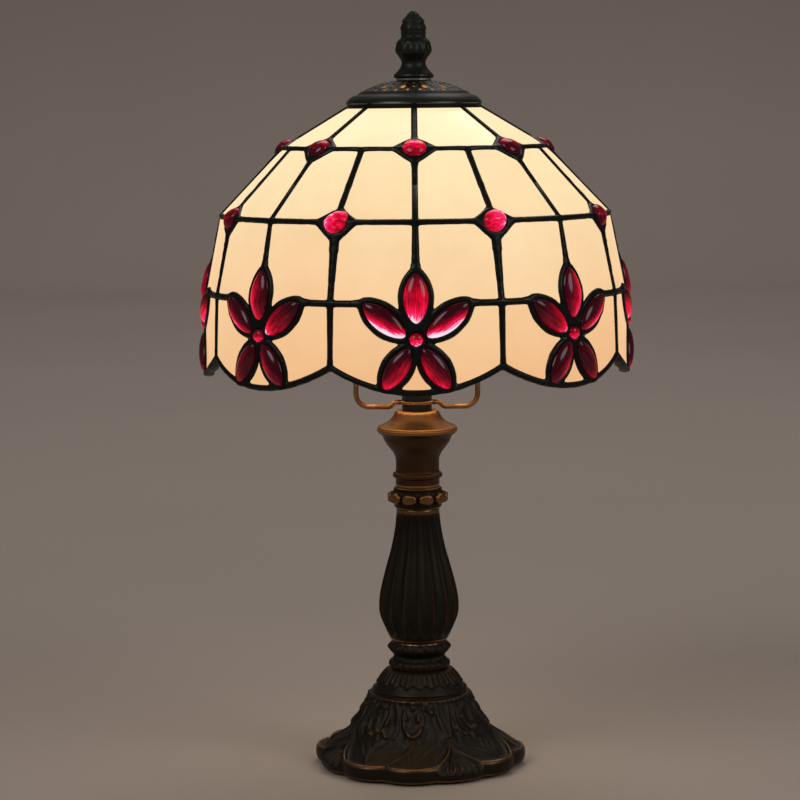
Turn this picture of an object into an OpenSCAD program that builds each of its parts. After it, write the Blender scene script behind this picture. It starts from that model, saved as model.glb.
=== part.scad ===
// Stained glass table lamp: a leaded glass dome on a harp, over a cast baluster stand.
// Millimetres, +Z up. The origin is on the lamp's axis, in the plane it stands on.
// The shade repeats in equal sectors. A flower of jewels faces -Y in the first sector.

/* [Base] */
// Radius of the foot at the tips of its lobes
foot_r = 49; // [42:1:60]
// Number of overlapping lobes around the foot
foot_lobes = 12; // [8:1:16]
// Radius of the round end of each lobe
lobe_r = 18; // [14:0.5:22]
// Height of the foot's edge, felt not counted
foot_edge_h = 5; // [4:0.5:8]
// Height of the base casting's top above the table
base_h = 45; // [38:1:56]
// Radius of the base casting at its top
base_top_r = 14; // [12:0.5:16]
// Radius of the base casting where the cone meets the foot
cone_foot_r = 31; // [27:0.5:37]
// Height above the table where the cone meets the foot
cone_foot_h = 17; // [14:0.5:21]
// Wall of the hollow castings
casting_wall = 3; // [2.5:0.5:3.5]
// Thickness of the felt under the foot
felt_t = 1.2; // [1:0.1:2]
// Thickness of the fibre cover that closes the base
cover_t = 1.6; // [1:0.1:2.5]

/* [Column] */
// Height of the leaf collar between base and column
collar_h = 13; // [10:0.5:16]
// Radius of the leaf collar at its rolls
collar_r = 14.2; // [12:0.2:17]
// Height of the baluster column
column_h = 62; // [50:1:80]
// Radius of the column at its belly
belly_r = 18.5; // [15:0.5:22]
// Height of the belly above the column's foot
belly_h = 16; // [12:0.5:22]
// Radius of the column at its foot
column_foot_r = 13.3; // [11:0.1:16]
// Radius of the column at its top
column_top_r = 10; // [9:0.1:12]
// Height of the beaded knop
knop_h = 10; // [8:0.5:14]
// Radius over the beads of the knop
knop_r = 13.9; // [12.5:0.1:17]
// Number of beads on the knop
knop_beads = 10; // [8:1:12]
// Height of the neck with its cup
neck_h = 27; // [22:0.5:34]
// Radius of the neck's plain part
neck_r = 10.1; // [9:0.1:12]
// Radius of the cup's rim
cup_r = 18.6; // [15:0.2:22]
// Height of the bell cap on the cup
bell_h = 8.4; // [6:0.2:11]
// Radius of the bell cap at its top
bell_top_r = 9.9; // [9:0.1:12]

/* [Rod] */
// Radius of the hollow threaded rod
rod_r = 4.8; // [4:0.1:5]
// Radius of the hole along the rod
rod_bore_r = 3.4; // [2.8:0.1:3.6]
// Gap between the rod and what slides over it
rod_gap = 0.3; // [0.2:0.05:0.5]

/* [Cord inlet] */
// Radius of the hole in the cord grommet
inlet_r = 3; // [2.5:0.1:3.5]
// Wall of the cord grommet
grommet_wall = 1; // [0.8:0.1:1.4]
// Height of the inlet's axis above the table
inlet_z = 8; // [7.6:0.2:9]

/* [Harp] */
// Width between the wires of the harp, centre to centre
harp_w = 56; // [50:1:68]
// Radius of the harp's wire
wire_r = 1.2; // [1:0.1:1.5]
// Height from the harp's ring to the seat of the shade
harp_h = 145.4; // [130:0.2:175]
// Radius of the lower corners of the harp
harp_corner_r = 6; // [4:0.5:9]
// Radius of the shoulders of the harp
harp_shoulder_r = 25; // [18:0.5:25]
// Outer radius of the ring around the socket's neck
harp_ring_r = 7.9; // [7.4:0.1:9]

/* [Socket and bulb] */
// Radius of the socket's neck
socket_neck_r = 6.9; // [6.2:0.1:7.2]
// Radius of the socket body
socket_r = 18; // [17:0.5:20]
// Height of the socket body
socket_h = 40; // [36:1:46]
// Radius of the lamp cap's screw thread
screw_r = 13.1; // [12.5:0.1:13.3]
// Radius of the bulb's globe
globe_r = 22.5; // [20:0.5:24]

/* [Shade] */
// Number of equal sectors, each with one flower
sectors = 8; // [8:1:8]
// Radius of the opening at the top of the glass
crown_r = 30; // [28:0.5:36]
// Radius of the first ring of lead
row1_r = 59.5; // [52:0.5:68]
// Radius of the second ring of lead
row2_r = 88.5; // [80:0.5:92]
// Radius of the third ring of lead
row3_r = 95.5; // [92:0.5:104]
// Radius of the glass at the hem
hem_r = 97; // [94:0.5:116]
// Drop from the shade's seat to the top of the glass
crown_drop = 9.7; // [9:0.1:12]
// Drop from the top of the glass to the first ring
row1_drop = 17.7; // [14:0.1:22]
// Drop from the first to the second ring
row2_drop = 30.3; // [25:0.1:37]
// Drop from the second to the third ring
row3_drop = 34.5; // [30:0.1:42]
// Drop from the third ring to the lowest point of the hem
hem_drop = 39; // [36:0.5:46]
// Rise of the hem from its lowest point to the cusps
cusp_rise = 10.5; // [7:0.5:12]
// Thickness of the glass
glass_t = 2.8; // [2.4:0.1:3.4]
// Width of a lead seam
seam_w = 2.6; // [2:0.1:3.2]
// How far the lead stands above the glass on both faces
lead_proud = 0.9; // [0.5:0.1:1.4]

/* [Jewels] */
// Radius of the round jewels
jewel_r = 5.85; // [5:0.05:6.4]
// Half width of the lead diamond around a round jewel
diamond_half_w = 10.4; // [9.6:0.1:12]
// Half height of the lead diamond around a round jewel
diamond_half_h = 8.8; // [8.4:0.1:10]
// Length of a petal jewel
petal_len = 22.5; // [21:0.5:26]
// Width of a petal jewel
petal_w = 10.5; // [10:0.5:13]
// Width of the lead around a petal
petal_lead = 1.9; // [1.5:0.1:2.4]
// How far a jewel's dome stands above the glass
jewel_proud = 3; // [2:0.1:4]
// Radius of the round jewel at a flower's centre
centre_jewel_r = 2.75; // [2.2:0.05:3.2]
// Drop from the third ring to the flowers' centres
flower_drop = 15; // [14:0.5:17]

/* [Cap and finial] */
// Radius of the vented cap
cap_r = 31; // [30:0.5:37]
// Height of the vented cap
cap_h = 10.6; // [9:0.2:13]
// Thickness of the cap's sheet
cap_t = 0.9; // [0.7:0.1:1.2]
// Number of small vents in the cap's upper row
small_vents = 24; // [16:1:26]
// Number of large vents in the cap's lower row
large_vents = 12; // [8:1:14]
// Radius of the stud that holds the finial
stud_r = 3; // [2.5:0.1:3.2]
// Running gap between the stud and the finial's thread
stud_gap = 0.1; // [0.05:0.01:0.1]
// Height of the finial
finial_h = 30.5; // [25:0.5:38]
// Radius of the finial's bulb
finial_r = 8.2; // [7:0.1:10]

/* [Hidden] */

$fn = 64;
// Longer than anything it has to cut through.
reach = 400;
// Gap between flat faces of pieces that move apart.
rest_gap = 0.1;
// Gap between moving pieces that do not touch.
free_gap = 0.4;
// Half the length of a prism that reaches through the shade's wall.
prism_half = 9;

// Levels of the stand, from the table up.
collar_z = base_h;
column_z = collar_z + collar_h;
knop_z = column_z + column_h;
neck_z = knop_z + knop_h;
bell_z = neck_z + neck_h;
spacer_z = bell_z + bell_h;
spacer_h = 2.8;
ring_z = spacer_z + spacer_h;
ring_t = 1.6;
seat_z = ring_z + harp_h;

// Inside of the base.
recess_r = foot_r - 8;
ring_bead_r = 1;
clamp_z = base_h - 16;
clamp_t = 2;
lock_t = 1.6;
nut_h = 5;
nut_corner_r = 9;
rod_tail = 2;
rod_hole_r = rod_r + rod_gap;

// Cord grommet.
grommet_r = inlet_r + grommet_wall;
grommet_lip = 1.2;
boss_wall = 1.6;
boss_end = foot_r - 2;
boss_len = 12;

// Harp.
wire_drop = 2.1;
wire_z = ring_z + ring_t / 2 - wire_drop;
step_x = harp_ring_r + 3;
arm_x = harp_w / 2;
plate_t = 1.5;
plate_half = 9;
plate_w = 9;
weld_gap = 0.05;
shoulder_top_z = seat_z - plate_t - weld_gap - wire_r;
stud_head_z = shoulder_top_z - wire_r - weld_gap;

// Socket and bulb.
socket_neck_h = 9;
socket_neck_z = ring_z + ring_t;
socket_base_z = socket_neck_z + socket_neck_h;
socket_base_h = 9;
socket_z = socket_base_z + socket_base_h;
socket_wall = 2;
terminal_x = socket_r - socket_wall - 6.5;
terminal_r = 1.6;
insulator_h = 8;
shell_t = 0.4;
shell_r = screw_r + 0.5;
shell_h = socket_h - insulator_h - 3;
shell_z = socket_z + insulator_h;
bulb_z = shell_z + 3;
bulb_cap_h = 24;
globe_z = bulb_z + bulb_cap_h + globe_r + 2;
globe_t = 0.8;
stem_top_z = globe_z - 6;
filament_r = 5;
globe_neck_r = screw_r - 0.5;
globe_in_cap = 5;

// Shade seat, cap and finial.
seat_washer_t = 1.4;
hole_r = stud_r + free_gap;
cap_base_z = seat_z + rest_gap + seat_washer_t + rest_gap + cap_t - cap_h;
cap_top_z = cap_base_z + cap_h;
cap_flat_r = 8;
seat_washer_r = cap_flat_r - 0.5;
cap_lip_h = 1.8;
small_vent_r = 0.9;
large_vent_r = 1.7;
small_vents_at = cap_flat_r + 5;
large_vents_at = cap_flat_r + 10.5;
finial_washer_t = 0.8;
finial_washer_r = 8;
finial_z = cap_top_z + rest_gap + finial_washer_t + rest_gap;
insert_wall = 1.1;
insert_r = stud_r + stud_gap + insert_wall;
insert_h = 11;
stud_top_z = finial_z + insert_h - 2;

// Points of the shade's outer outline, [radius, height], top to hem.
crown_z = seat_z - crown_drop;
row1_z = crown_z - row1_drop;
row2_z = row1_z - row2_drop;
row3_z = row2_z - row3_drop;
hem_z = row3_z - hem_drop;
hem_spare = 4;
dome = [
    [crown_r, crown_z],
    [row1_r, row1_z],
    [row2_r, row2_z],
    [row3_r, row3_z],
    [hem_r, hem_z - hem_spare]
];
sector_angle = 360 / sectors;
half_angle = sector_angle / 2;
top_ring_r = crown_r + 0.6;
top_ring_w = 4.4;
top_ring_t = 2.4;

// Each straight stretch of the outline has an outward normal.
function unit(v) = v / norm(v);
function dome_normal(i) = let (d = unit(dome[i + 1] - dome[i])) [-d.y, d.x];
function joint_normal(i) = unit(dome_normal(i - 1) + dome_normal(i));
function dome_offset(i, d) =
    i == 0 ? dome[0] + dome_normal(0) * d :
    i == len(dome) - 1 ? dome[i] + dome_normal(i - 1) * d :
    let (a = dome_normal(i - 1), b = dome_normal(i)) dome[i] + (a + b) * d / (1 + a * b);
function lerp(a, b, t) = a + (b - a) * t;
function dome_r(i, z) =
    lerp(dome[i].x, dome[i + 1].x, (z - dome[i].y) / (dome[i + 1].y - dome[i].y));
function elevation(n) = atan2(n.y, n.x);

// A flower: each petal is [distance, direction, axis angle, length, dome stretch].
flower_z = row3_z - flower_drop;
top_petal_at = 17.5;
side_petal_at = 15.8;
side_petal_dir = 31;
side_petal_axis = 38;
low_petal_at = 14.9;
low_petal_dir = 56;
low_petal_axis = 57;
low_petal_len = petal_len - 1.5;
petals = [
    [top_petal_at, 90, 90, petal_len, 0.5],
    [side_petal_at, side_petal_dir, side_petal_axis, petal_len, 1],
    [side_petal_at, 180 - side_petal_dir, 180 - side_petal_axis, petal_len, 1],
    [low_petal_at, -low_petal_dir, -low_petal_axis, low_petal_len, 1],
    [low_petal_at, low_petal_dir - 180, low_petal_axis - 180, low_petal_len, 1]
];
flower_hub_r = centre_jewel_r + 2 * petal_lead;
function petal_centre(p) = [p[0] * cos(p[1]), p[0] * sin(p[1])];
function petal_tip(p, end) = petal_centre(p) + end * p[3] / 2 * [cos(p[2]), sin(p[2])];
side_tip = petal_tip(petals[1], 1);
side_root = petal_tip(petals[1], -1);
low_tip = petal_tip(petals[3], 1);
low_root = petal_tip(petals[3], -1);
side_tip_angle = asin((side_tip.x - 1) / row3_r);

// The hem is an arc through the lowest point and both cusps of a sector.
cusp_x = dome_r(3, hem_z + cusp_rise) * sin(half_angle);
hem_arc_r = (cusp_x * cusp_x + cusp_rise * cusp_rise) / (2 * cusp_rise);

// Smooth outline through key points [radius, height], level at every key.
function eased(keys, steps = 5) = concat(
    [for (i = [0 : len(keys) - 2]) for (j = [0 : steps - 1])
        let (t = j / steps, e = (1 - cos(180 * t)) / 2)
        [lerp(keys[i].x, keys[i + 1].x, e), lerp(keys[i].y, keys[i + 1].y, t)]],
    [keys[len(keys) - 1]]
);

// ---------- Shared shapes ----------

// Round solid with a hole along its axis, from an outer outline.
module turned(outline, bore) {
    first = outline[0];
    last = outline[len(outline) - 1];
    rotate_extrude()
        polygon(concat([[bore, first.y]], outline, [[bore, last.y]]));
}

// Hollow inside a turned casting, with closed ends that guide the rod.
module casting_hollow(outline, end_h) {
    first = outline[0];
    last = outline[len(outline) - 1];
    intersection() {
        turned([for (p = outline) [max(p.x - casting_wall, rod_hole_r + 0.5), p.y]], 0);
        translate([0, 0, first.y + end_h])
            cylinder(r = reach, h = last.y - first.y - 2 * end_h);
    }
}

module flat_ring(outer, bore, z, h) {
    translate([0, 0, z])
        difference() {
            cylinder(r = outer, h = h);
            translate([0, 0, -1]) cylinder(r = bore, h = h + 2);
        }
}

module each_sector() {
    for (k = [0 : sectors - 1]) rotate([0, 0, k * sector_angle]) children();
}

module each_half_sector() {
    each_sector() for (side = [0, 1]) mirror([side, 0, 0]) children();
}

// Stretch of the shade's wall from outline point a to b, between two angles from -Y.
module wall_wedge(a, b, outer, inner, from, to) {
    rotate([0, 0, from - 90])
        rotate_extrude(angle = to - from, $fn = 128)
            polygon(concat(
                [for (i = [a : b]) dome_offset(i, outer)],
                [for (i = [b : -1 : a]) dome_offset(i, -inner)]
            ));
}

module glass_wedge(a, b, from, to) {
    wall_wedge(a, b, 0, glass_t, from, to);
}

module lead_wedge(a, b, from, to) {
    wall_wedge(a, b, lead_proud, glass_t + lead_proud, from, to);
}

// Upright slab one seam wide, from the axis outwards at an angle from -Y.
module rib_slab(angle) {
    rotate([0, 0, angle])
        translate([-seam_w / 2, -reach, 0])
            cube([seam_w, reach, reach]);
}

// Conical band one seam wide where two stretches of the outline meet.
module ring_band(i, from, to) {
    n = joint_normal(i);
    t = [-n.y, n.x];
    rotate([0, 0, from - 90])
        rotate_extrude(angle = to - from, $fn = 128)
            polygon([for (s = [[-1, -1], [1, -1], [1, 1], [-1, 1]])
                dome[i] + t * s.x * seam_w / 2 + n * s.y * 8]);
}

// Moves a piece from its own plane onto the shade. Its +Z becomes the outward normal.
module on_shade(angle, r, z, tilt) {
    rotate([0, 0, angle])
        translate([0, -r, z])
            rotate([90 - tilt, 0, 0])
                children();
}

module at_joint(i, angle) {
    on_shade(angle, dome[i].x, dome[i].y, elevation(joint_normal(i))) children();
}

module diamond_prism() {
    translate([0, 0, -prism_half])
        linear_extrude(2 * prism_half)
            polygon([
                [diamond_half_w, 0],
                [0, diamond_half_h],
                [-diamond_half_w, 0],
                [0, -diamond_half_h]
            ]);
}

// Domed round jewel with its girdle in the plane of the glass.
module round_jewel(r) {
    dome_h = jewel_proud - 0.8;
    sphere_r = (r * r + dome_h * dome_h) / (2 * dome_h);
    intersection() {
        translate([0, 0, -glass_t]) cylinder(r = r, h = reach);
        translate([0, 0, jewel_proud - sphere_r]) sphere(r = sphere_r);
        translate([0, 0, -glass_t]) cylinder(r = 2 * r, h = 2 * glass_t + jewel_proud);
    }
}

// Pointed oval prism, widened all round by a margin.
module petal_prism(len, margin) {
    half_l = len / 2;
    half_w = petal_w / 2;
    arc_r = (half_l * half_l + half_w * half_w) / (2 * half_w);
    intersection() {
        translate([0, half_w - arc_r, -prism_half])
            cylinder(r = arc_r + margin, h = 2 * prism_half);
        translate([0, arc_r - half_w, -prism_half])
            cylinder(r = arc_r + margin, h = 2 * prism_half);
    }
}

// Places a piece at a petal, lying along it.
module at_petal(p) {
    c = petal_centre(p);
    z = flower_z + c.y;
    stretch = z > row3_z ? 2 : 3;
    r = dome_r(stretch, z);
    n = unit(lerp(dome_normal(2), dome_normal(3), p[4]));
    on_shade(asin(c.x / r), r, z, elevation(n)) rotate([0, 0, p[2]]) children();
}

module at_flower_centre() {
    on_shade(0, dome_r(3, flower_z), flower_z, elevation(dome_normal(3))) children();
}

module hub_prism(r) {
    translate([0, 0, -prism_half]) cylinder(r = r, h = 2 * prism_half);
}

// Everything that a flower's lead frame covers.
module flower_area() {
    for (p = petals) at_petal(p) petal_prism(p[3], petal_lead);
    at_flower_centre() hub_prism(flower_hub_r);
}

// Disc whose edge is a sector's hem, or the inner edge of the hem's lead.
module hem_disc(inset, angle = 0) {
    rotate([0, 0, angle])
        translate([0, 0, hem_z + hem_arc_r])
            rotate([90, 0, 0])
                cylinder(r = hem_arc_r - inset, h = reach, $fn = 128);
}

// Prism along -Y over an area drawn around the flower's centre.
module area_prism(points) {
    translate([0, 0, flower_z])
        rotate([90, 0, 0])
            linear_extrude(reach)
                polygon(points);
}

// Seam of the third ring, which stops at the flowers' side petals.
module skirt_seam() {
    ring_band(3, side_tip_angle, sector_angle - side_tip_angle);
}

// ---------- Stand ----------

function cone_outline() = [
    [foot_r - 3.6, foot_edge_h + felt_t - 0.9],
    [foot_r - 5, foot_edge_h + felt_t + 2.3],
    lerp([foot_r - 4, foot_edge_h + felt_t + 1], [cone_foot_r, cone_foot_h], 0.5) + [0, 0.8],
    [cone_foot_r, cone_foot_h],
    lerp([cone_foot_r, cone_foot_h], [base_top_r, base_h], 0.3) + [1.6, 0],
    lerp([cone_foot_r, cone_foot_h], [base_top_r, base_h], 0.65) + [1.2, 0],
    [base_top_r, base_h]
];

module base_felt() {
    color("darkgreen")
        cylinder(r = foot_r - 5, h = felt_t);
}

module base_cover() {
    color("tan")
        translate([0, 0, felt_t])
            cylinder(r = recess_r, h = cover_t);
}

module foot_lobe_plate() {
    translate([0, 0, felt_t])
        linear_extrude(foot_edge_h)
            for (i = [0 : foot_lobes - 1])
                rotate(i * 360 / foot_lobes) translate([foot_r - lobe_r, 0]) circle(r = lobe_r);
}

module base_casting() {
    outline = cone_outline();
    inside = [for (p = outline) [max(p.x - casting_wall, rod_hole_r), p.y - casting_wall]];
    color("#2f261b")
        difference() {
            union() {
                foot_lobe_plate();
                turned(outline, 0);
                for (p = [lerp(outline[6], outline[5], 0.9), lerp(outline[5], outline[4], 0.2)])
                    rotate_extrude() translate(p) circle(r = ring_bead_r);
                translate([0, boss_end, inlet_z])
                    rotate([90, 0, 0])
                        cylinder(r = grommet_r + boss_wall, h = boss_len);
            }
            difference() {
                turned(inside, 0);
                translate([0, 0, clamp_z + clamp_t]) cylinder(r = reach, h = reach);
            }
            translate([0, 0, felt_t - 1])
                cylinder(r = recess_r, h = inside[1].y - felt_t + 1);
            cylinder(r = rod_hole_r, h = reach);
            translate([0, boss_end + 1, inlet_z])
                rotate([90, 0, 0])
                    cylinder(r = grommet_r, h = boss_len + 2);
            translate([0, boss_end, inlet_z])
                rotate([-90, 0, 0])
                    cylinder(r = grommet_r + boss_wall, h = foot_r);
        }
}

module cord_grommet() {
    color("black")
        translate([0, boss_end, inlet_z])
            rotate([90, 0, 0])
                difference() {
                    union() {
                        cylinder(r = grommet_r, h = boss_len - 1);
                        translate([0, 0, -grommet_lip])
                            cylinder(r = grommet_r + boss_wall - 0.4, h = grommet_lip);
                    }
                    translate([0, 0, -grommet_lip - 1]) cylinder(r = inlet_r, h = boss_len + 4);
                }
}

module rod_clamp_plate() {
    color("silver") flat_ring(nut_corner_r + 1.5, rod_hole_r, clamp_z, clamp_t);
}

module rod_lock_washer() {
    color("dimgray")
        difference() {
            flat_ring(nut_corner_r - 0.5, rod_hole_r, clamp_z - lock_t, lock_t);
            translate([rod_r - 1, -0.6, clamp_z - lock_t - 1]) cube([nut_corner_r, 1.2, lock_t + 2]);
        }
}

module rod_bottom_nut() {
    color("goldenrod")
        translate([0, 0, clamp_z - lock_t - nut_h])
            difference() {
                cylinder(r = nut_corner_r, h = nut_h, $fn = 6);
                translate([0, 0, -1]) cylinder(r = rod_r, h = nut_h + 2);
            }
}

module threaded_rod() {
    bottom = clamp_z - lock_t - nut_h - rod_tail;
    color("goldenrod") flat_ring(rod_r, rod_bore_r, bottom, socket_base_z + 2 - bottom);
}

module leaf_collar() {
    roll = collar_h / 4;
    outline = eased([
        [base_top_r - 0.6, collar_z],
        [collar_r - 0.4, collar_z + roll * 0.7],
        [collar_r - 1.8, collar_z + roll * 1.7],
        [collar_r, collar_z + roll * 2.8],
        [column_foot_r, column_z]
    ]);
    color("#2f261b") turned(outline, rod_hole_r);
}

function column_outline() = eased([
    [column_foot_r, column_z],
    [belly_r, column_z + belly_h],
    [lerp(column_top_r, belly_r, 0.42), column_z + lerp(belly_h, column_h, 0.42)],
    [column_top_r, knop_z]
], 6);

module baluster_column() {
    color("#2f261b")
        difference() {
            turned(column_outline(), rod_hole_r);
            casting_hollow(column_outline(), 4);
        }
}

module beaded_knop() {
    bead_r = 3;
    color("#2f261b")
        difference() {
            union() {
                turned(eased([
                    [column_top_r + 0.4, knop_z],
                    [knop_r - 2, knop_z + knop_h / 2],
                    [neck_r + 0.4, neck_z]
                ]), rod_hole_r);
                for (i = [0 : knop_beads - 1])
                    rotate([0, 0, (i + 0.5) * 360 / knop_beads])
                        translate([knop_r - bead_r, 0, knop_z + knop_h / 2])
                            sphere(r = bead_r, $fn = 32);
            }
            translate([0, 0, knop_z - 1]) cylinder(r = rod_hole_r, h = knop_h + 2);
        }
}

function neck_outline() = [
    [neck_r, neck_z],
    [neck_r, neck_z + 4],
    [neck_r + 1.2, neck_z + 4.7],
    [neck_r + 1.2, neck_z + 6],
    [neck_r, neck_z + 6.7],
    [neck_r, neck_z + 13.5],
    [lerp(neck_r, cup_r, 0.38), neck_z + 17.5],
    [lerp(neck_r, cup_r, 0.62), bell_z - 5],
    [lerp(neck_r, cup_r, 0.74), bell_z - 2.4],
    [cup_r, bell_z - 0.8],
    [cup_r, bell_z]
];

module cup_neck() {
    color("#2f261b")
        difference() {
            turned(neck_outline(), rod_hole_r);
            casting_hollow(neck_outline(), 2.5);
        }
}

module bell_cap() {
    keys = [
        [cup_r - 0.4, bell_z],
        [cup_r - 1.6, bell_z + 0.8],
        [lerp(bell_top_r, cup_r, 0.42), bell_z + bell_h * 0.38],
        [bell_top_r + 0.6, bell_z + bell_h * 0.75],
        [bell_top_r, spacer_z]
    ];
    sheet = 1.2;
    color("#6b4526")
        difference() {
            turned(keys, rod_hole_r);
            intersection() {
                turned([for (p = keys) [p.x - 2 * sheet, p.y - sheet]], 0);
                translate([0, 0, bell_z]) cylinder(r = reach, h = bell_h - sheet);
            }
        }
}

// ---------- Harp ----------

module harp_spacer() {
    color("dimgray") flat_ring(harp_ring_r - 1, rod_hole_r, spacer_z, spacer_h);
}

module harp_ring() {
    color("#b9793f") flat_ring(harp_ring_r, rod_hole_r, ring_z, ring_t);
}

// Bent stretch of wire in the X-Z plane, about a centre, between two angles from +X.
module wire_bend(x, z, r, from, to) {
    translate([x, 0, z])
        rotate([90, 0, 0])
            rotate([0, 0, from])
                rotate_extrude(angle = to - from)
                    translate([r, 0]) circle(r = wire_r, $fn = 24);
}

module wire_straight(x1, z1, x2, z2) {
    dx = x2 - x1;
    dz = z2 - z1;
    translate([x1, 0, z1])
        rotate([0, atan2(dx, dz), 0])
            cylinder(r = wire_r, h = sqrt(dx * dx + dz * dz), $fn = 24);
}

// Ball that rounds the outside of a corner in the wire.
module wire_corner(x, z) {
    translate([x, 0, z]) sphere(r = wire_r, $fn = 24);
}

module harp_wire() {
    top_z = wire_z + wire_drop;
    shoulder_x = arm_x - harp_shoulder_r;
    color("#b9793f")
        difference() {
            for (side = [0, 1]) mirror([side, 0, 0]) {
                wire_straight(rod_hole_r + 1, top_z, step_x, top_z);
                wire_corner(step_x, top_z);
                wire_straight(step_x, top_z, step_x + wire_drop, wire_z);
                wire_corner(step_x + wire_drop, wire_z);
                wire_straight(step_x + wire_drop, wire_z, arm_x - harp_corner_r, wire_z);
                wire_bend(arm_x - harp_corner_r, wire_z + harp_corner_r, harp_corner_r, -90, 0);
                wire_straight(arm_x, wire_z + harp_corner_r, arm_x, shoulder_top_z - harp_shoulder_r);
                wire_bend(shoulder_x, shoulder_top_z - harp_shoulder_r, harp_shoulder_r, 0, 90);
                wire_straight(stud_r - 1, shoulder_top_z, shoulder_x, shoulder_top_z);
            }
            translate([0, 0, ring_z - 4]) cylinder(r = harp_ring_r, h = 8);
            translate([0, 0, shoulder_top_z - 4]) cylinder(r = stud_r, h = 8);
        }
}

module harp_top_plate() {
    color("#b9793f")
        translate([0, 0, seat_z - plate_t])
            difference() {
                translate([-plate_half, -plate_w / 2, 0]) cube([2 * plate_half, plate_w, plate_t]);
                translate([0, 0, -1]) cylinder(r = stud_r, h = plate_t + 2);
            }
}

module harp_stud() {
    color("goldenrod")
        union() {
            translate([0, 0, stud_head_z]) cylinder(r = stud_r, h = stud_top_z - stud_head_z);
            translate([0, 0, stud_head_z - 2]) cylinder(r = stud_r + 2, h = 2);
        }
}

// ---------- Socket and bulb ----------

module socket_neck() {
    color("#1b1a19") flat_ring(socket_neck_r, rod_r, socket_neck_z, socket_neck_h);
}

module socket_base() {
    inner = socket_wall;
    color("#1b1a19")
        translate([0, 0, socket_base_z])
            difference() {
                cylinder(r1 = socket_neck_r + 2, r2 = socket_r, h = socket_base_h);
                translate([0, 0, inner])
                    cylinder(r1 = socket_neck_r, r2 = socket_r - inner, h = socket_base_h - inner + 0.01);
                translate([0, 0, -1]) cylinder(r = rod_r, h = socket_base_h);
            }
}

module socket_body() {
    color("#1b1a19") flat_ring(socket_r, socket_r - socket_wall, socket_z, socket_h);
}

module socket_insulator() {
    color("ivory")
        difference() {
            translate([0, 0, socket_z]) cylinder(r = socket_r - socket_wall, h = insulator_h);
            for (side = [0, 1]) mirror([side, 0, 0])
                translate([terminal_x, 0, socket_z - 1])
                    cylinder(r = terminal_r, h = 6);
            translate([0, 0, socket_z - 1]) cylinder(r = 1.5, h = insulator_h + 2);
        }
}

module socket_screw_shell() {
    color("goldenrod") flat_ring(shell_r + shell_t, shell_r, shell_z, shell_h);
}

module socket_centre_contact() {
    color("goldenrod")
        union() {
            translate([0, 0, shell_z]) cylinder(r = 4, h = 0.8);
            translate([0, 0, shell_z + 0.8]) cylinder(r = 2.4, h = bulb_z - 1.5 - shell_z);
        }
}

module socket_terminal_screws() {
    color("silver")
        for (side = [0, 1]) mirror([side, 0, 0])
            translate([terminal_x, 0, socket_z - 2]) {
                cylinder(r = terminal_r, h = 7);
                cylinder(r = terminal_r + 1.2, h = 2);
            }
}

module bulb_globe() {
    neck_top = globe_z - sqrt(globe_r * globe_r - globe_neck_r * globe_neck_r);
    neck_bottom = bulb_z + bulb_cap_h - globe_in_cap;
    color("lightyellow")
        difference() {
            union() {
                translate([0, 0, globe_z]) sphere(r = globe_r);
                translate([0, 0, neck_bottom]) cylinder(r = globe_neck_r, h = neck_top - neck_bottom + 0.5);
            }
            translate([0, 0, globe_z]) sphere(r = globe_r - globe_t);
            translate([0, 0, neck_bottom - 1])
                cylinder(r = globe_neck_r - globe_t, h = neck_top - neck_bottom + 4);
        }
}

module bulb_screw_cap() {
    color("silver") flat_ring(screw_r, screw_r - 0.5, bulb_z + 2.5, bulb_cap_h - 2.5);
}

module bulb_cap_insulator() {
    color("black")
        translate([0, 0, bulb_z + 0.6])
            cylinder(r1 = 5, r2 = screw_r - 0.5, h = 1.9 + 2);
}

module bulb_tip_contact() {
    color("silver") translate([0, 0, bulb_z - 0.4]) cylinder(r = 3.6, h = 1);
}

module bulb_stem() {
    color("lightblue")
        union() {
            translate([0, 0, bulb_z + 4.5])
                cylinder(r1 = 6, r2 = 1.6, h = stem_top_z - bulb_z - 5.5);
            translate([0, 0, stem_top_z - 1.6]) cylinder(r = filament_r + 1, h = 1.6);
        }
}

module bulb_filament() {
    post_h = 3;
    color("orange")
        union() {
            translate([0, 0, stem_top_z + post_h])
                rotate_extrude() translate([filament_r, 0]) circle(r = 0.8, $fn = 24);
            for (i = [0 : 3])
                rotate([0, 0, i * 90])
                    translate([filament_r, 0, stem_top_z]) cylinder(r = 0.4, h = post_h);
        }
}

// ---------- Shade: seat, top ring and cap ----------

module shade_seat_washer() {
    color("black") flat_ring(seat_washer_r, hole_r, seat_z + rest_gap, seat_washer_t);
}

module shade_top_ring() {
    color("#3a3f3a")
        flat_ring(top_ring_r, crown_r - top_ring_w, cap_base_z - top_ring_t, top_ring_t);
}

function cap_outline() = [
    [cap_flat_r, cap_top_z],
    lerp([cap_flat_r, cap_top_z], [cap_r, cap_base_z], 0.33) + [0.3, 0.9],
    lerp([cap_flat_r, cap_top_z], [cap_r, cap_base_z], 0.66) + [0.5, 1.3],
    [cap_r - 0.6, cap_base_z + cap_lip_h],
    [cap_r, cap_base_z + cap_lip_h - 0.6],
    [cap_r, cap_base_z]
];

module cap_vent(r, z, radius, angle) {
    rotate([0, 0, angle])
        translate([0, -r, z])
            rotate([25, 0, 0])
                translate([0, 0, -6]) cylinder(r = radius, h = 12, $fn = 24);
}

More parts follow.
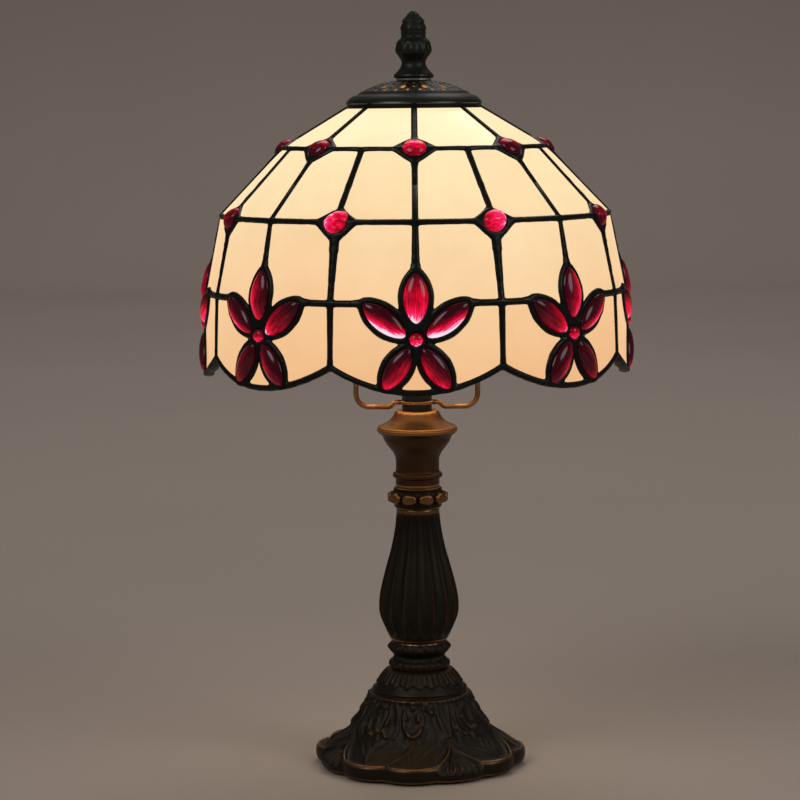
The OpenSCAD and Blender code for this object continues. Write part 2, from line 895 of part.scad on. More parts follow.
module vented_cap() {
    outline = cap_outline();
    under = [for (p = outline) [p.x - cap_t * 0.4, p.y - cap_t]];
    color("#252b28")
        difference() {
            rotate_extrude()
                polygon(concat(
                    [[0, cap_top_z]],
                    outline,
                    [[cap_r - 1.2, cap_base_z], [cap_r - 1.2, cap_base_z + cap_lip_h - cap_t]],
                    [for (i = [2 : -1 : 0]) under[i]],
                    [[0, cap_top_z - cap_t]]
                ));
            translate([0, 0, cap_base_z]) cylinder(r = hole_r, h = cap_h + 1);
            for (i = [0 : small_vents - 1])
                cap_vent(small_vents_at, cap_top_z - 2, small_vent_r, i * 360 / small_vents);
            for (i = [0 : large_vents - 1])
                cap_vent(large_vents_at, cap_top_z - 4, large_vent_r, (i + 0.5) * 360 / large_vents);
        }
}

// ---------- Shade: glass ----------

module crown_glass() {
    color("#f6e2bd")
        each_sector()
            difference() {
                glass_wedge(0, 1, 0, sector_angle);
                rib_slab(0);
                rib_slab(sector_angle);
                ring_band(1, -1, sector_angle + 1);
                at_joint(1, 0) diamond_prism();
                at_joint(1, sector_angle) diamond_prism();
                translate([0, 0, cap_base_z - top_ring_t]) cylinder(r = top_ring_r, h = reach);
            }
}

module upper_glass() {
    color("#f6e2bd")
        each_half_sector()
            difference() {
                glass_wedge(1, 2, 0, half_angle);
                rib_slab(0);
                rib_slab(half_angle);
                ring_band(1, -1, half_angle + 1);
                ring_band(2, -1, half_angle + 1);
                at_joint(1, 0) diamond_prism();
                at_joint(2, half_angle) diamond_prism();
            }
}

module middle_glass() {
    color("#f4dcb4")
        each_half_sector()
            difference() {
                intersection() {
                    glass_wedge(2, 4, 0, half_angle);
                    area_prism([
                        [0, side_root.y - 2],
                        side_root,
                        side_tip,
                        [side_tip.x, flower_drop],
                        [reach, flower_drop],
                        [reach, reach],
                        [0, reach]
                    ]);
                }
                rib_slab(0);
                rib_slab(half_angle);
                ring_band(2, -1, half_angle + 1);
                at_joint(2, half_angle) diamond_prism();
                skirt_seam();
                flower_area();
            }
}

module skirt_glass() {
    color("#f2d6aa")
        each_half_sector()
            difference() {
                intersection() {
                    glass_wedge(2, 4, 0, half_angle);
                    hem_disc(seam_w);
                    area_prism([
                        low_root,
                        side_root,
                        side_tip,
                        [side_tip.x, flower_drop],
                        [reach, flower_drop],
                        [reach, -reach],
                        [low_tip.x + 4, -reach],
                        low_tip
                    ]);
                }
                rib_slab(half_angle);
                skirt_seam();
                flower_area();
            }
}

module hem_glass() {
    color("#f2d6aa")
        each_sector()
            difference() {
                intersection() {
                    glass_wedge(3, 4, -half_angle / 2, half_angle / 2);
                    hem_disc(seam_w);
                    area_prism([
                        [0, low_root.y],
                        low_root,
                        low_tip,
                        [low_tip.x, -reach],
                        [-low_tip.x, -reach],
                        [-low_tip.x, low_tip.y],
                        [-low_root.x, low_root.y]
                    ]);
                }
                flower_area();
            }
}

// ---------- Shade: jewels ----------

module petal_jewels() {
    color("#a80f33")
        each_sector()
            for (p = petals)
                at_petal(p)
                    intersection() {
                        petal_prism(p[3], 0);
                        petal_dome(p[3]);
                    }
}

// Low dome over a petal, as wide as its length.
module petal_dome(len) {
    rise = jewel_proud - 0.6;
    dome_r = (len * len / 4 + rise * rise) / (2 * rise);
    intersection() {
        translate([0, 0, jewel_proud - dome_r]) sphere(r = dome_r, $fn = 96);
        translate([0, 0, -glass_t]) cylinder(r = len, h = 2 * len);
    }
}

module flower_centre_jewels() {
    color("#a80f33") each_sector() at_flower_centre() round_jewel(centre_jewel_r);
}

module crown_jewels() {
    color("#a80f33") each_sector() at_joint(1, 0) round_jewel(jewel_r);
}

module band_jewels() {
    color("#c21440") each_sector() at_joint(2, half_angle) round_jewel(jewel_r);
}

// ---------- Shade: lead ----------

module crown_ribs() {
    color("#30342f")
        each_sector()
            difference() {
                intersection() {
                    lead_wedge(0, 1, -5, 5);
                    rib_slab(0);
                }
                ring_band(1, -6, 6);
                at_joint(1, 0) diamond_prism();
                translate([0, 0, cap_base_z - top_ring_t]) cylinder(r = top_ring_r, h = reach);
                translate([0, 0, cap_base_z]) cylinder(r = cap_r + 0.2, h = reach);
            }
}

module upper_ribs() {
    color("#30342f")
        each_sector() {
            difference() {
                intersection() {
                    lead_wedge(1, 2, -5, 5);
                    rib_slab(0);
                }
                ring_band(2, -6, 6);
                at_joint(1, 0) diamond_prism();
            }
            difference() {
                intersection() {
                    lead_wedge(1, 2, half_angle - 5, half_angle + 5);
                    rib_slab(half_angle);
                }
                ring_band(1, half_angle - 6, half_angle + 6);
                at_joint(2, half_angle) diamond_prism();
            }
        }
}

module middle_ribs() {
    color("#30342f")
        each_sector() {
            difference() {
                intersection() {
                    lead_wedge(2, 3, -5, 5);
                    rib_slab(0);
                }
                ring_band(2, -6, 6);
                flower_area();
            }
            difference() {
                intersection() {
                    lead_wedge(2, 3, half_angle - 5, half_angle + 5);
                    rib_slab(half_angle);
                }
                ring_band(3, half_angle - 6, half_angle + 6);
                at_joint(2, half_angle) diamond_prism();
            }
        }
}

module skirt_ribs() {
    color("#30342f")
        each_sector()
            difference() {
                intersection() {
                    lead_wedge(3, 4, half_angle - 5, half_angle + 5);
                    rib_slab(half_angle);
                    hem_disc(seam_w);
                    hem_disc(seam_w, sector_angle);
                }
                ring_band(3, half_angle - 6, half_angle + 6);
            }
}

module crown_ring() {
    color("#30342f")
        each_sector()
            difference() {
                intersection() {
                    lead_wedge(0, 2, 1, sector_angle - 1);
                    ring_band(1, 0, sector_angle);
                }
                at_joint(1, 0) diamond_prism();
                at_joint(1, sector_angle) diamond_prism();
            }
}

module band_ring() {
    color("#30342f")
        each_sector()
            difference() {
                intersection() {
                    lead_wedge(1, 3, 1 - half_angle, half_angle - 1);
                    ring_band(2, -half_angle, half_angle);
                }
                at_joint(2, half_angle) diamond_prism();
                at_joint(2, -half_angle) diamond_prism();
            }
}

module skirt_ring() {
    color("#30342f")
        each_sector()
            difference() {
                intersection() {
                    lead_wedge(2, 4, 0, sector_angle);
                    skirt_seam();
                }
                flower_area();
                rotate([0, 0, sector_angle]) flower_area();
            }
}

module crown_jewel_settings() {
    color("#30342f")
        each_sector()
            difference() {
                intersection() {
                    lead_wedge(0, 2, -half_angle, half_angle);
                    at_joint(1, 0) diamond_prism();
                }
                at_joint(1, 0) translate([0, 0, -reach / 2]) cylinder(r = jewel_r, h = reach);
            }
}

module band_jewel_settings() {
    color("#30342f")
        each_sector()
            difference() {
                intersection() {
                    lead_wedge(1, 3, 0, sector_angle);
                    at_joint(2, half_angle) diamond_prism();
                }
                at_joint(2, half_angle)
                    translate([0, 0, -reach / 2]) cylinder(r = jewel_r, h = reach);
            }
}

module flower_frames() {
    color("#30342f")
        each_sector()
            difference() {
                intersection() {
                    lead_wedge(2, 4, -half_angle, half_angle);
                    flower_area();
                    hem_disc(0);
                }
                for (p = petals) at_petal(p) petal_prism(p[3], 0);
                at_flower_centre() hub_prism(centre_jewel_r);
            }
}

module hem_lead() {
    color("#30342f")
        each_sector()
            difference() {
                intersection() {
                    lead_wedge(3, 4, -half_angle, half_angle);
                    hem_disc(0);
                }
                hem_disc(seam_w);
                flower_area();
            }
}

// ---------- Finial ----------

module finial_washer() {
    color("goldenrod") flat_ring(finial_washer_r, hole_r, cap_top_z + rest_gap, finial_washer_t);
}

module finial_casting() {
    h = finial_h;
    keys = [
        [finial_r + 1, finial_z],
        [finial_r + 0.6, finial_z + h * 0.05],
        [finial_r - 2.7, finial_z + h * 0.24],
        [finial_r, finial_z + h * 0.42],
        [finial_r - 2.9, finial_z + h * 0.62],
        [finial_r - 2.3, finial_z + h * 0.72],
        [finial_r - 4.4, finial_z + h * 0.9],
        [0.6, finial_z + h]
    ];
    color("#252b28")
        difference() {
            turned(eased(keys, 3), 0);
            translate([0, 0, finial_z - 1]) cylinder(r = insert_r, h = insert_h + 1);
        }
}

module finial_insert() {
    color("goldenrod")
        difference() {
            translate([0, 0, finial_z]) cylinder(r = insert_r, h = insert_h);
            translate([0, 0, finial_z - 1]) cylinder(r = stud_r + stud_gap, h = insert_h);
        }
}

base_felt();
base_cover();
base_casting();
cord_grommet();
rod_clamp_plate();
rod_lock_washer();
rod_bottom_nut();
threaded_rod();
leaf_collar();
baluster_column();
beaded_knop();
cup_neck();
bell_cap();
harp_spacer();
harp_ring();
harp_wire();
harp_top_plate();
harp_stud();
socket_neck();
socket_base();
socket_body();
socket_insulator();
socket_screw_shell();
socket_centre_contact();
socket_terminal_screws();
bulb_globe();
bulb_screw_cap();
bulb_cap_insulator();
bulb_tip_contact();
bulb_stem();
bulb_filament();
shade_seat_washer();
shade_top_ring();
vented_cap();
crown_glass();
upper_glass();
middle_glass();
skirt_glass();
hem_glass();
petal_jewels();
flower_centre_jewels();
crown_jewels();
band_jewels();
crown_ribs();
upper_ribs();
middle_ribs();
skirt_ribs();
crown_ring();
band_ring();
skirt_ring();
crown_jewel_settings();
band_jewel_settings();
flower_frames();
hem_lead();
finial_washer();
finial_casting();
finial_insert();
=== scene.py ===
"""Looks of a leaded glass table lamp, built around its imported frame."""

import math

import bmesh
import bpy
import numpy as np
from mathutils import Matrix, Vector, noise
from mathutils.geometry import interpolate_bezier


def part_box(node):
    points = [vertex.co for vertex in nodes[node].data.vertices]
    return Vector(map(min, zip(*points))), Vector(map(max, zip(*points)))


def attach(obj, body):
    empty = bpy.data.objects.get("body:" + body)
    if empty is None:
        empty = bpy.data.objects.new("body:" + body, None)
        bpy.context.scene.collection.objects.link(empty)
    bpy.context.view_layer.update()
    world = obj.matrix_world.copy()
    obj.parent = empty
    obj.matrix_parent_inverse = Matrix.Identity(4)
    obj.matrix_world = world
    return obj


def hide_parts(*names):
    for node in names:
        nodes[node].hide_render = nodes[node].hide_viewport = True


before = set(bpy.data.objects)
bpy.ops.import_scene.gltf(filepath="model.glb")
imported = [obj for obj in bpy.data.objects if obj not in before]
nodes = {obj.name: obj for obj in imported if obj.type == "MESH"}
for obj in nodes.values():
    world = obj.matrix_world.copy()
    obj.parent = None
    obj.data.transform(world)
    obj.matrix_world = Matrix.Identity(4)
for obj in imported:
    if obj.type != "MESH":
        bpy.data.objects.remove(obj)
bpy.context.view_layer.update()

MM = 0.001
TAU = 2 * math.pi


def span(name):
    """Lowest and highest level of a frame node, in millimetres."""
    low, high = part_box(name)
    return low.z / MM, high.z / MM


# ---------------------------------------------------------------- mesh helpers


def flowing(keys, spacing):
    """Smooth line of points through key points."""
    keys = [Vector(k).to_3d() for k in keys]
    line = []
    for i in range(len(keys) - 1):
        a, b = keys[i], keys[i + 1]
        into = b - (keys[i - 1] if i else a)
        out = (keys[i + 2] if i + 2 < len(keys) else b) - a
        gap = (b - a).length
        into = into.normalized() * gap / 3
        out = out.normalized() * gap / 3
        count = max(2, round(gap / spacing) + 1)
        line += interpolate_bezier(a, a + into, b - out, b, count)[:-1]
    return [tuple(p[:2]) for p in line + [keys[-1]]]


def turned(outline, segments, closed=False):
    """Skin turned about the axis from an outline [radius, height]."""
    segments = segments
    bm = bmesh.new()
    points = [bm.verts.new((r, 0, z)) for r, z in outline]
    pairs = list(zip(points, points[1:])) + ([(points[-1], points[0])] if closed else [])
    edges = [bm.edges.new(pair) for pair in pairs]
    bmesh.ops.spin(
        bm, geom=points + edges, cent=(0, 0, 0), axis=(0, 0, 1),
        angle=TAU, steps=segments, use_merge=True,
    )
    bmesh.ops.remove_doubles(bm, verts=bm.verts, dist=1e-3)
    bmesh.ops.recalc_face_normals(bm, faces=bm.faces)
    return bm


def whole_of(bm):
    return bm.verts[:] + bm.edges[:] + bm.faces[:]


def verts_in(geom):
    return [g for g in geom if isinstance(g, bmesh.types.BMVert)]


def edges_in(geom):
    return [g for g in geom if isinstance(g, bmesh.types.BMEdge)]


def places(bm):
    return np.array([v.co for v in bm.verts], float).reshape(-1, 3)


def move_to(bm, where):
    for v, p in zip(bm.verts, where.tolist()):
        v.co = p


def polar(p):
    """Angle from -Y towards +X, and radius, of each point."""
    return np.arctan2(p[:, 0], -p[:, 1]), np.hypot(p[:, 0], p[:, 1])


def round_places(bm):
    """Angle, radius and level of each point."""
    p = places(bm)
    return *polar(p), p[:, 2]


def from_polar(angle, radius, z):
    return np.stack([radius * np.sin(angle), -radius * np.cos(angle), z], axis=1)


def on_outline(radius, level, outline):
    """Which points are on an outline, and not on the rest of what was turned from it."""
    skin = {(round(r, 3), round(z, 3)) for r, z in outline}
    at = zip(radius.tolist(), level.tolist())
    return np.array([(round(r, 3), round(z, 3)) in skin for r, z in at])


def smoothstep(low, high, x):
    t = np.clip((x - low) / (high - low), 0, 1)
    return t * t * (3 - 2 * t)


def ridge(distance, width):
    """Rounded ridge one unit high, across a distance from its middle."""
    return np.exp(-((distance / width) ** 2))


def fold(angle, period):
    """Angle from the middle of the nearest of equal sectors."""
    return (angle + period / 2) % period - period / 2


def near_line(x, y, line):
    """Distance of each point from a line of points."""
    nearest = np.full(x.shape, 1e9)
    for (ax, ay), (bx, by) in zip(line, line[1:]):
        dx, dy = bx - ax, by - ay
        t = np.clip(((x - ax) * dx + (y - ay) * dy) / (dx * dx + dy * dy), 0, 1)
        nearest = np.minimum(nearest, np.hypot(x - ax - t * dx, y - ay - t * dy))
    return nearest


def mark(bm, name, amount):
    """Stores an amount at each point: how much more it is rubbed, or how far it is lit."""
    layer = bm.verts.layers.float.new(name)
    for v, value in zip(bm.verts, amount.tolist()):
        v[layer] = value


def mark_wear(mesh, reach=1.0, rounds=3):
    """Stores how far each place stands out from its surroundings as 'wear'."""
    count = len(mesh.vertices)
    where, facing = np.empty(count * 3), np.empty(count * 3)
    mesh.vertices.foreach_get("co", where)
    mesh.vertices.foreach_get("normal", facing)
    where, facing = where.reshape(-1, 3), facing.reshape(-1, 3)
    edges = np.empty(len(mesh.edges) * 2, np.int64)
    mesh.edges.foreach_get("vertices", edges)
    a, b = edges.reshape(-1, 2).T
    degree = np.maximum(np.bincount(a, minlength=count) + np.bincount(b, minlength=count), 1)

    def averaged(value):
        total = np.bincount(a, value[b], count) + np.bincount(b, value[a], count)
        return total / degree

    around = where.copy()
    for _ in range(rounds * 2):
        around = np.stack([averaged(around[:, k]) for k in range(3)], axis=1)
    out = np.einsum("ij,ij->i", where - around, facing) / (reach * MM)
    for _ in range(rounds):
        out = 0.5 * out + 0.5 * averaged(out)
    rubbed = mesh.attributes.get("rub")
    if rubbed:
        more = np.empty(count)
        rubbed.data.foreach_get("value", more)
        out += more
        mesh.attributes.remove(rubbed)
    layer = mesh.attributes.new("wear", "FLOAT", "POINT")
    layer.data.foreach_set("value", out.astype(np.float32))


def in_scene(name, data):
    made = bpy.data.objects.new(name, data)
    bpy.context.scene.collection.objects.link(made)
    return made


def piece(name, bm, material, body, stands_for=(), worn=0.0, sharp=None):
    """Finishes a mesh made in millimetres as a piece of the lamp."""
    mesh = bpy.data.meshes.new(name)
    bm.to_mesh(mesh)
    bm.free()
    mesh.transform(Matrix.Scale(MM, 4))
    mesh.shade_smooth()
    if sharp is not None:
        mesh.set_sharp_from_angle(angle=math.radians(sharp))
    mesh.materials.append(material)
    if worn:
        mark_wear(mesh, worn)
    made = in_scene(name, mesh)
    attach(made, body)
    if stands_for:
        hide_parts(*stands_for)


def blank_mesh(bm):
    """Passing mesh of a bmesh, which is freed."""
    mesh = bpy.data.meshes.new("blank")
    bm.to_mesh(mesh)
    bm.free()
    return mesh


def add_to(whole, bm):
    """Adds a mesh to another, and frees it."""
    mesh = blank_mesh(bm)
    whole.from_mesh(mesh)
    bpy.data.meshes.remove(mesh)


def through_modifier(bm, kind, **settings):
    """The mesh that a modifier makes of this one."""
    mesh = blank_mesh(bm)
    blank = in_scene("blank", mesh)
    modifier = blank.modifiers.new("shape", kind)
    for key, value in settings.items():
        setattr(modifier, key, value)
    view = bpy.context.evaluated_depsgraph_get()
    result = bpy.data.meshes.new_from_object(blank.evaluated_get(view))
    bm = bmesh.new()
    bm.from_mesh(result)
    bpy.data.objects.remove(blank)
    bpy.data.meshes.remove(mesh)
    bpy.data.meshes.remove(result)
    return bm


# ---------------------------------------------------------------- shader helpers


def shader(name):
    material = bpy.data.materials.new(name)
    material.use_nodes = True
    return material, material.node_tree, material.node_tree.nodes["Principled BSDF"]


def fill(made, inputs):
    """Links what comes from another node, and sets the rest."""
    for key, value in inputs.items():
        if isinstance(value, bpy.types.NodeSocket):
            made.id_data.links.new(value, made.inputs[key])
        else:
            made.inputs[key].default_value = value
    return made


def node(tree, kind, inputs, **settings):
    made = tree.nodes.new("ShaderNode" + kind)
    for key, value in settings.items():
        setattr(made, key, value)
    return fill(made, inputs)


def place(tree):
    return node(tree, "TexCoord", {}).outputs["Object"]


def grain(tree, scale, detail=3.0, roughness=0.55, vector=None):
    where = vector or place(tree)
    inputs = {"Vector": where, "Scale": scale, "Detail": detail, "Roughness": roughness}
    return node(tree, "TexNoise", inputs).outputs["Fac"]


def sums(tree, operation, a, b, clamp=False):
    return node(tree, "Math", {0: a, 1: b}, operation=operation, use_clamp=clamp).outputs[0]


def between(tree, value, low, high, to_low=0.0, to_high=1.0):
    span_of = {"From Min": low, "From Max": high, "To Min": to_low, "To Max": to_high}
    return node(tree, "MapRange", {"Value": value, **span_of}).outputs["Result"]


def ramp(tree, value, stops):
    made = node(tree, "ValToRGB", {"Fac": value})
    elements = made.color_ramp.elements
    while len(elements) < len(stops):
        elements.new(0.5)
    for element, (at, colour) in zip(elements, stops):
        element.position = at
        element.color = (*colour, 1)
    return made.outputs["Color"]


def relief(tree, height, strength, depth):
    inputs = {"Height": height, "Strength": strength, "Distance": depth}
    return node(tree, "Bump", inputs).outputs["Normal"]


def attribute(tree, name):
    return node(tree, "Attribute", {}, attribute_name=name).outputs["Fac"]


def plain(name, colours, rough=(0.4, 0.5), metallic=0.0, scale=300.0, bump=0.15, **more):
    """Finish with a fine mottle between colours, and a matching roughness."""
    material, tree, bsdf = shader(name)
    mottle = grain(tree, scale, 4.0)
    stops = [(0.25 + 0.5 * i / (len(colours) - 1), c) for i, c in enumerate(colours)]
    fill(bsdf, {
        "Base Color": ramp(tree, mottle, stops),
        "Roughness": between(tree, mottle, 0.3, 0.7, *rough),
        "Metallic": metallic,
        "Normal": relief(tree, grain(tree, scale * 2.2, 3.0), bump, 0.0001),
        **{key.replace("_", " "): value for key, value in more.items()},
    })
    return material


# ---------------------------------------------------------------- finishes


def worn_metal(name, dark, mid, bright, wear_from, wear_to, rough=(0.5, 0.3), lamplight=0.0):
    """Dark patinated metal, rubbed bright where it stands out, lit by the bulb where marked so."""
    material, tree, bsdf = shader(name)
    patchy = grain(tree, 260, 5.0, 0.6)
    cloudy = grain(tree, 60, 3.0)
    wear = sums(tree, "ADD", attribute(tree, "wear"), between(tree, patchy, 0.3, 0.7, -0.05, 0.05))
    wear = sums(tree, "ADD", wear, between(tree, cloudy, 0.3, 0.7, -0.03, 0.03))
    rubbed = between(tree, wear, wear_from, wear_to)
    fill(bsdf, {
        "Base Color": ramp(tree, rubbed, [(0.0, dark), (0.35, mid), (1.0, bright)]),
        "Roughness": between(tree, rubbed, 0, 1, *rough),
        "Metallic": between(tree, rubbed, 0, 1, 0.55, 1.0),
        "Normal": relief(tree, grain(tree, 700, 4.0), 0.25, 0.00015),
    })
    if lamplight:
        fill(bsdf, {
            "Emission Color": ramp(tree, patchy, [(0.3, (1.0, 0.34, 0.07)), (0.7, (1.0, 0.46, 0.13))]),
            "Emission Strength": sums(tree, "MULTIPLY", attribute(tree, "lit"), lamplight),
        })
    return material


bronze = worn_metal(
    "antique_bronze", (0.0120, 0.0078, 0.0033), (0.031, 0.0175, 0.0072), (0.25, 0.138, 0.058),
    0.05, 0.52,
)
brown_bronze = worn_metal(
    "brown_bronze", (0.062, 0.029, 0.0105), (0.105, 0.049, 0.018), (0.45, 0.23, 0.095),
    0.06, 0.42, rough=(0.42, 0.3),
)
spun_bronze = worn_metal(
    "spun_bronze", (0.23, 0.11, 0.046), (0.34, 0.17, 0.072), (0.78, 0.42, 0.19),
    -0.04, 0.4, rough=(0.38, 0.28),
)
# The cap's copy of this patina also carries painted lamplight: an orange glow where the cap is marked lit.
dark_patina, cap_patina_painted_glow = (
    worn_metal(
        name, (0.013, 0.015, 0.012), (0.025, 0.028, 0.022), (0.06, 0.064, 0.05),
        0.0, 0.45, rough=(0.48, 0.32), lamplight=lamplight,
    ) for name, lamplight in (("dark_patina", 0.0), ("cap_patina_painted_glow", 0.85))
)


def copper_finish():
    """Brushed copper-bronze wire."""
    material, tree, bsdf = shader("copper_bronze")
    cloud = grain(tree, 120, 4.0)
    fill(bsdf, {
        "Base Color": ramp(tree, cloud, [(0.3, (0.34, 0.16, 0.075)), (0.7, (0.66, 0.36, 0.18))]),
        "Roughness": between(tree, cloud, 0.3, 0.7, 0.36, 0.24),
        "Metallic": 1.0,
        "Normal": relief(tree, grain(tree, 1500, 2.0), 0.12, 0.00005),
    })
    return material


def lead_finish():
    """Solder over foil, blackened to a green-grey patina."""
    material, tree, bsdf = shader("lead")
    cloud = grain(tree, 130, 5.0, 0.6)
    greys = (0.004, 0.006, 0.005), (0.008, 0.011, 0.009), (0.020, 0.025, 0.021)
    fill(bsdf, {
        "Base Color": ramp(tree, cloud, list(zip((0.3, 0.55, 0.75), greys))),
        "Roughness": between(tree, cloud, 0.3, 0.7, 0.5, 0.3),
        "Metallic": 0.6,
        "Normal": relief(tree, grain(tree, 420, 4.0), 0.35, 0.0003),
    })
    return material


bulb_centre = span("bulb_globe")[1] - 22.5
crown_level = span("crown_glass")[1]
hem_level = span("hem_glass")[0]


def opal_finish(name, top, bottom):
    """Opal glass lit from inside, warmer and dimmer away from the bulb."""
    material, tree, bsdf = shader(name)
    where = place(tree)
    height = node(tree, "SeparateXYZ", {"Vector": where}).outputs["Z"]
    up = between(tree, height, hem_level * MM, crown_level * MM)
    cloud = grain(tree, 16, 2.0, 0.5, where)
    fleck = grain(tree, 90, 3.0, 0.6, where)
    pane = node(tree, "NewGeometry", {}).outputs["Random Per Island"]
    tone = sums(tree, "ADD", up, between(tree, cloud, 0.25, 0.75, -0.14, 0.14))
    tone = sums(tree, "ADD", tone, between(tree, pane, 0, 1, -0.09, 0.09), clamp=True)
    middle = tuple((a + b) / 2 for a, b in zip(top, bottom))
    bulb = node(
        tree, "VectorMath", {0: where, 1: (0, 0, bulb_centre * MM)}, operation="DISTANCE"
    ).outputs["Value"]
    near = between(tree, bulb, 0.06, 0.12, 1.06, 0.93)
    strength = sums(tree, "MULTIPLY", near, between(tree, fleck, 0.3, 0.7, 0.975, 1.02))
    fill(bsdf, {
        "Emission Color": ramp(tree, tone, [(0.0, bottom), (0.5, middle), (1.0, top)]),
        "Emission Strength": sums(tree, "MULTIPLY", strength, 0.97),
        "Base Color": (0.12, 0.09, 0.06, 1),
        "Roughness": 0.22,
        "Specular IOR Level": 0.22,
        "Normal": relief(tree, grain(tree, 55, 2.0, 0.4, where), 0.12, 0.0006),
    })
    return material


def ruby_finish(name, streaks):
    """Pressed ruby glass: dark where it looks away from the bulb, hot where it gathers its light."""
    material, tree, bsdf = shader(name)
    own = zip("XYZ", ("along", "across", "number"))
    where = node(tree, "CombineXYZ", {k: attribute(tree, n) for k, n in own}).outputs["Vector"]
    stretched = node(tree, "Mapping", {"Vector": where, "Scale": (1.1, streaks, 1.0)})
    veins = grain(tree, 1.6, 4.0, 0.65, stretched.outputs["Vector"])
    cloud = grain(tree, 1.1, 2.0, 0.5, where)
    glow = sums(tree, "ADD", attribute(tree, "glow"), between(tree, veins, 0.3, 0.7, -0.19, 0.19))
    glow = sums(tree, "ADD", glow, between(tree, cloud, 0.3, 0.7, -0.06, 0.06), clamp=True)
    fill(bsdf, {
        "Emission Color": ramp(tree, glow, [
            (0.0, (0.014, 0.0, 0.0015)), (0.20, (0.050, 0.0, 0.004)), (0.42, (0.27, 0.0, 0.010)),
            (0.62, (0.80, 0.001, 0.032)), (0.80, (1.0, 0.03, 0.20)), (0.93, (1.0, 0.75, 0.86)),
        ]),
        "Emission Strength": 1.0,
        "Base Color": (0.03, 0.0, 0.004, 1),
        "Roughness": 0.13,
        "IOR": 1.45,
    })
    return material


def bulb_finish():
    """Frosted globe, lit."""
    material, tree, bsdf = shader("frosted_glass")
    warm = [(0.3, (1.0, 0.72, 0.38)), (0.7, (1.0, 0.82, 0.52))]
    fill(bsdf, {
        "Emission Color": ramp(tree, grain(tree, 60, 2.0), warm),
        "Emission Strength": 9.0,
        "Base Color": (0.9, 0.85, 0.75, 1),
        "Roughness": 0.5,
    })
    return material


def filament_finish():
    """Glowing wire."""
    material, tree, bsdf = shader("filament")
    warm = [(0.3, (1.0, 0.45, 0.12)), (0.7, (1.0, 0.62, 0.25))]
    fill(bsdf, {
        "Emission Color": ramp(tree, grain(tree, 900, 2.0), warm),
        "Emission Strength": 25.0,
    })
    return material


def felt_finish():
    """Short green baize pile."""
    material, tree, bsdf = shader("felt")
    pile = grain(tree, 2600, 4.0, 0.7)
    fill(bsdf, {
        "Base Color": ramp(tree, pile, [(0.3, (0.012, 0.035, 0.018)), (0.7, (0.03, 0.085, 0.045))]),
        "Roughness": 0.95,
        "Sheen Weight": 0.5,
        "Normal": relief(tree, pile, 0.6, 0.0004),
    })
    return material


opal_upper = opal_finish("opal_glass", (0.99, 0.82, 0.49), (0.93, 0.53, 0.26))
opal_lower = opal_finish("opal_glass_peach", (0.99, 0.80, 0.48), (0.92, 0.52, 0.255))
ruby_petal = ruby_finish("ruby_glass_petal", 7.0)
ruby_round = ruby_finish("ruby_glass_round", 2.2)
lead = lead_finish()
copper = copper_finish()
brass = plain("brass", [(0.45, 0.29, 0.10), (0.70, 0.48, 0.20)], (0.25, 0.42), 1.0, 400)
steel = plain("steel", [(0.42, 0.42, 0.43), (0.62, 0.62, 0.63)], (0.28, 0.42), 1.0, 500)
rubber = plain("rubber", [(0.008,) * 3, (0.02,) * 3], (0.65, 0.8), 0.0, 800, 0.3)
phenolic = plain(
    "phenolic", [(0.010, 0.009, 0.008), (0.022, 0.020, 0.018)], (0.28, 0.4), 0.0, 350
)
porcelain = plain(
    "porcelain", [(0.72, 0.69, 0.62), (0.82, 0.80, 0.74)], (0.12, 0.2), 0.0, 200, 0.05
)
fibreboard = plain(
    "fibreboard", [(0.20, 0.13, 0.07), (0.36, 0.25, 0.15)], (0.8, 0.95), 0.0, 1400, 0.5
)
black_glass = plain(
    "black_glass", [(0.004, 0.004, 0.005), (0.01, 0.01, 0.012)], (0.05, 0.12), 0.0, 200, 0.05
)
clear_glass = plain(
    "clear_glass", [(0.90, 0.93, 0.94), (0.97, 0.98, 0.99)], (0.03, 0.08), 0.0, 150, 0.05,
    Transmission_Weight=1.0, IOR=1.5,
)
frosted_glass = bulb_finish()
filament = filament_finish()
felt = felt_finish()

kept = [
    (felt, "base_felt"), (fibreboard, "base_cover"), (rubber, "cord_grommet shade_seat_washer"),
    (steel, "rod_clamp_plate rod_lock_washer socket_terminal_screws"),
    (steel, "bulb_screw_cap bulb_tip_contact finial_washer"),
    (brass, "rod_bottom_nut threaded_rod harp_stud finial_insert"),
    (brass, "socket_screw_shell socket_centre_contact"), (copper, "harp_top_plate"),
    (phenolic, "harp_spacer socket_neck socket_base socket_body"),
    (porcelain, "socket_insulator"), (frosted_glass, "bulb_globe"),
    (black_glass, "bulb_cap_insulator"), (clear_glass, "bulb_stem"),
    (filament, "bulb_filament"), (lead, "shade_top_ring"),
    (opal_upper, "crown_glass upper_glass"), (opal_lower, "middle_glass skirt_glass hem_glass"),
]
for material, names in kept:
    for name in names.split():
        nodes[name].data.materials.clear()
        nodes[name].data.materials.append(material)


# ---------------------------------------------------------------- shade: the dome and its pattern

# Outline of the glass, [radius, height], from the hem up to the crown.
DOME = [(97.0, 178.4), (95.5, 221.4), (88.5, 255.9), (59.5, 286.2), (30.0, 303.9)]
GLASS = 2.8
SEAM = 1.9
HALF_SECTOR = math.radians(22.5)
radii = np.array([p[0] for p in DOME])
levels = np.array([p[1] for p in DOME])
steps = np.hypot(np.diff(radii), np.diff(levels))
# Distance up the outline, counted from the third ring of lead.
heights = np.concatenate([[0], np.cumsum(steps)]) - steps[0]
ROW3_V, ROW2_V, ROW1_V, CROWN_V = heights[1:]
tilts = np.arctan2(-np.diff(radii), np.diff(levels))
BLEND = 3.5
tilt_at = np.concatenate([[h - BLEND, h + BLEND] for h in heights[1:-1]])
tilt_is = np.concatenate([[a, b] for a, b in zip(tilts, tilts[1:])])


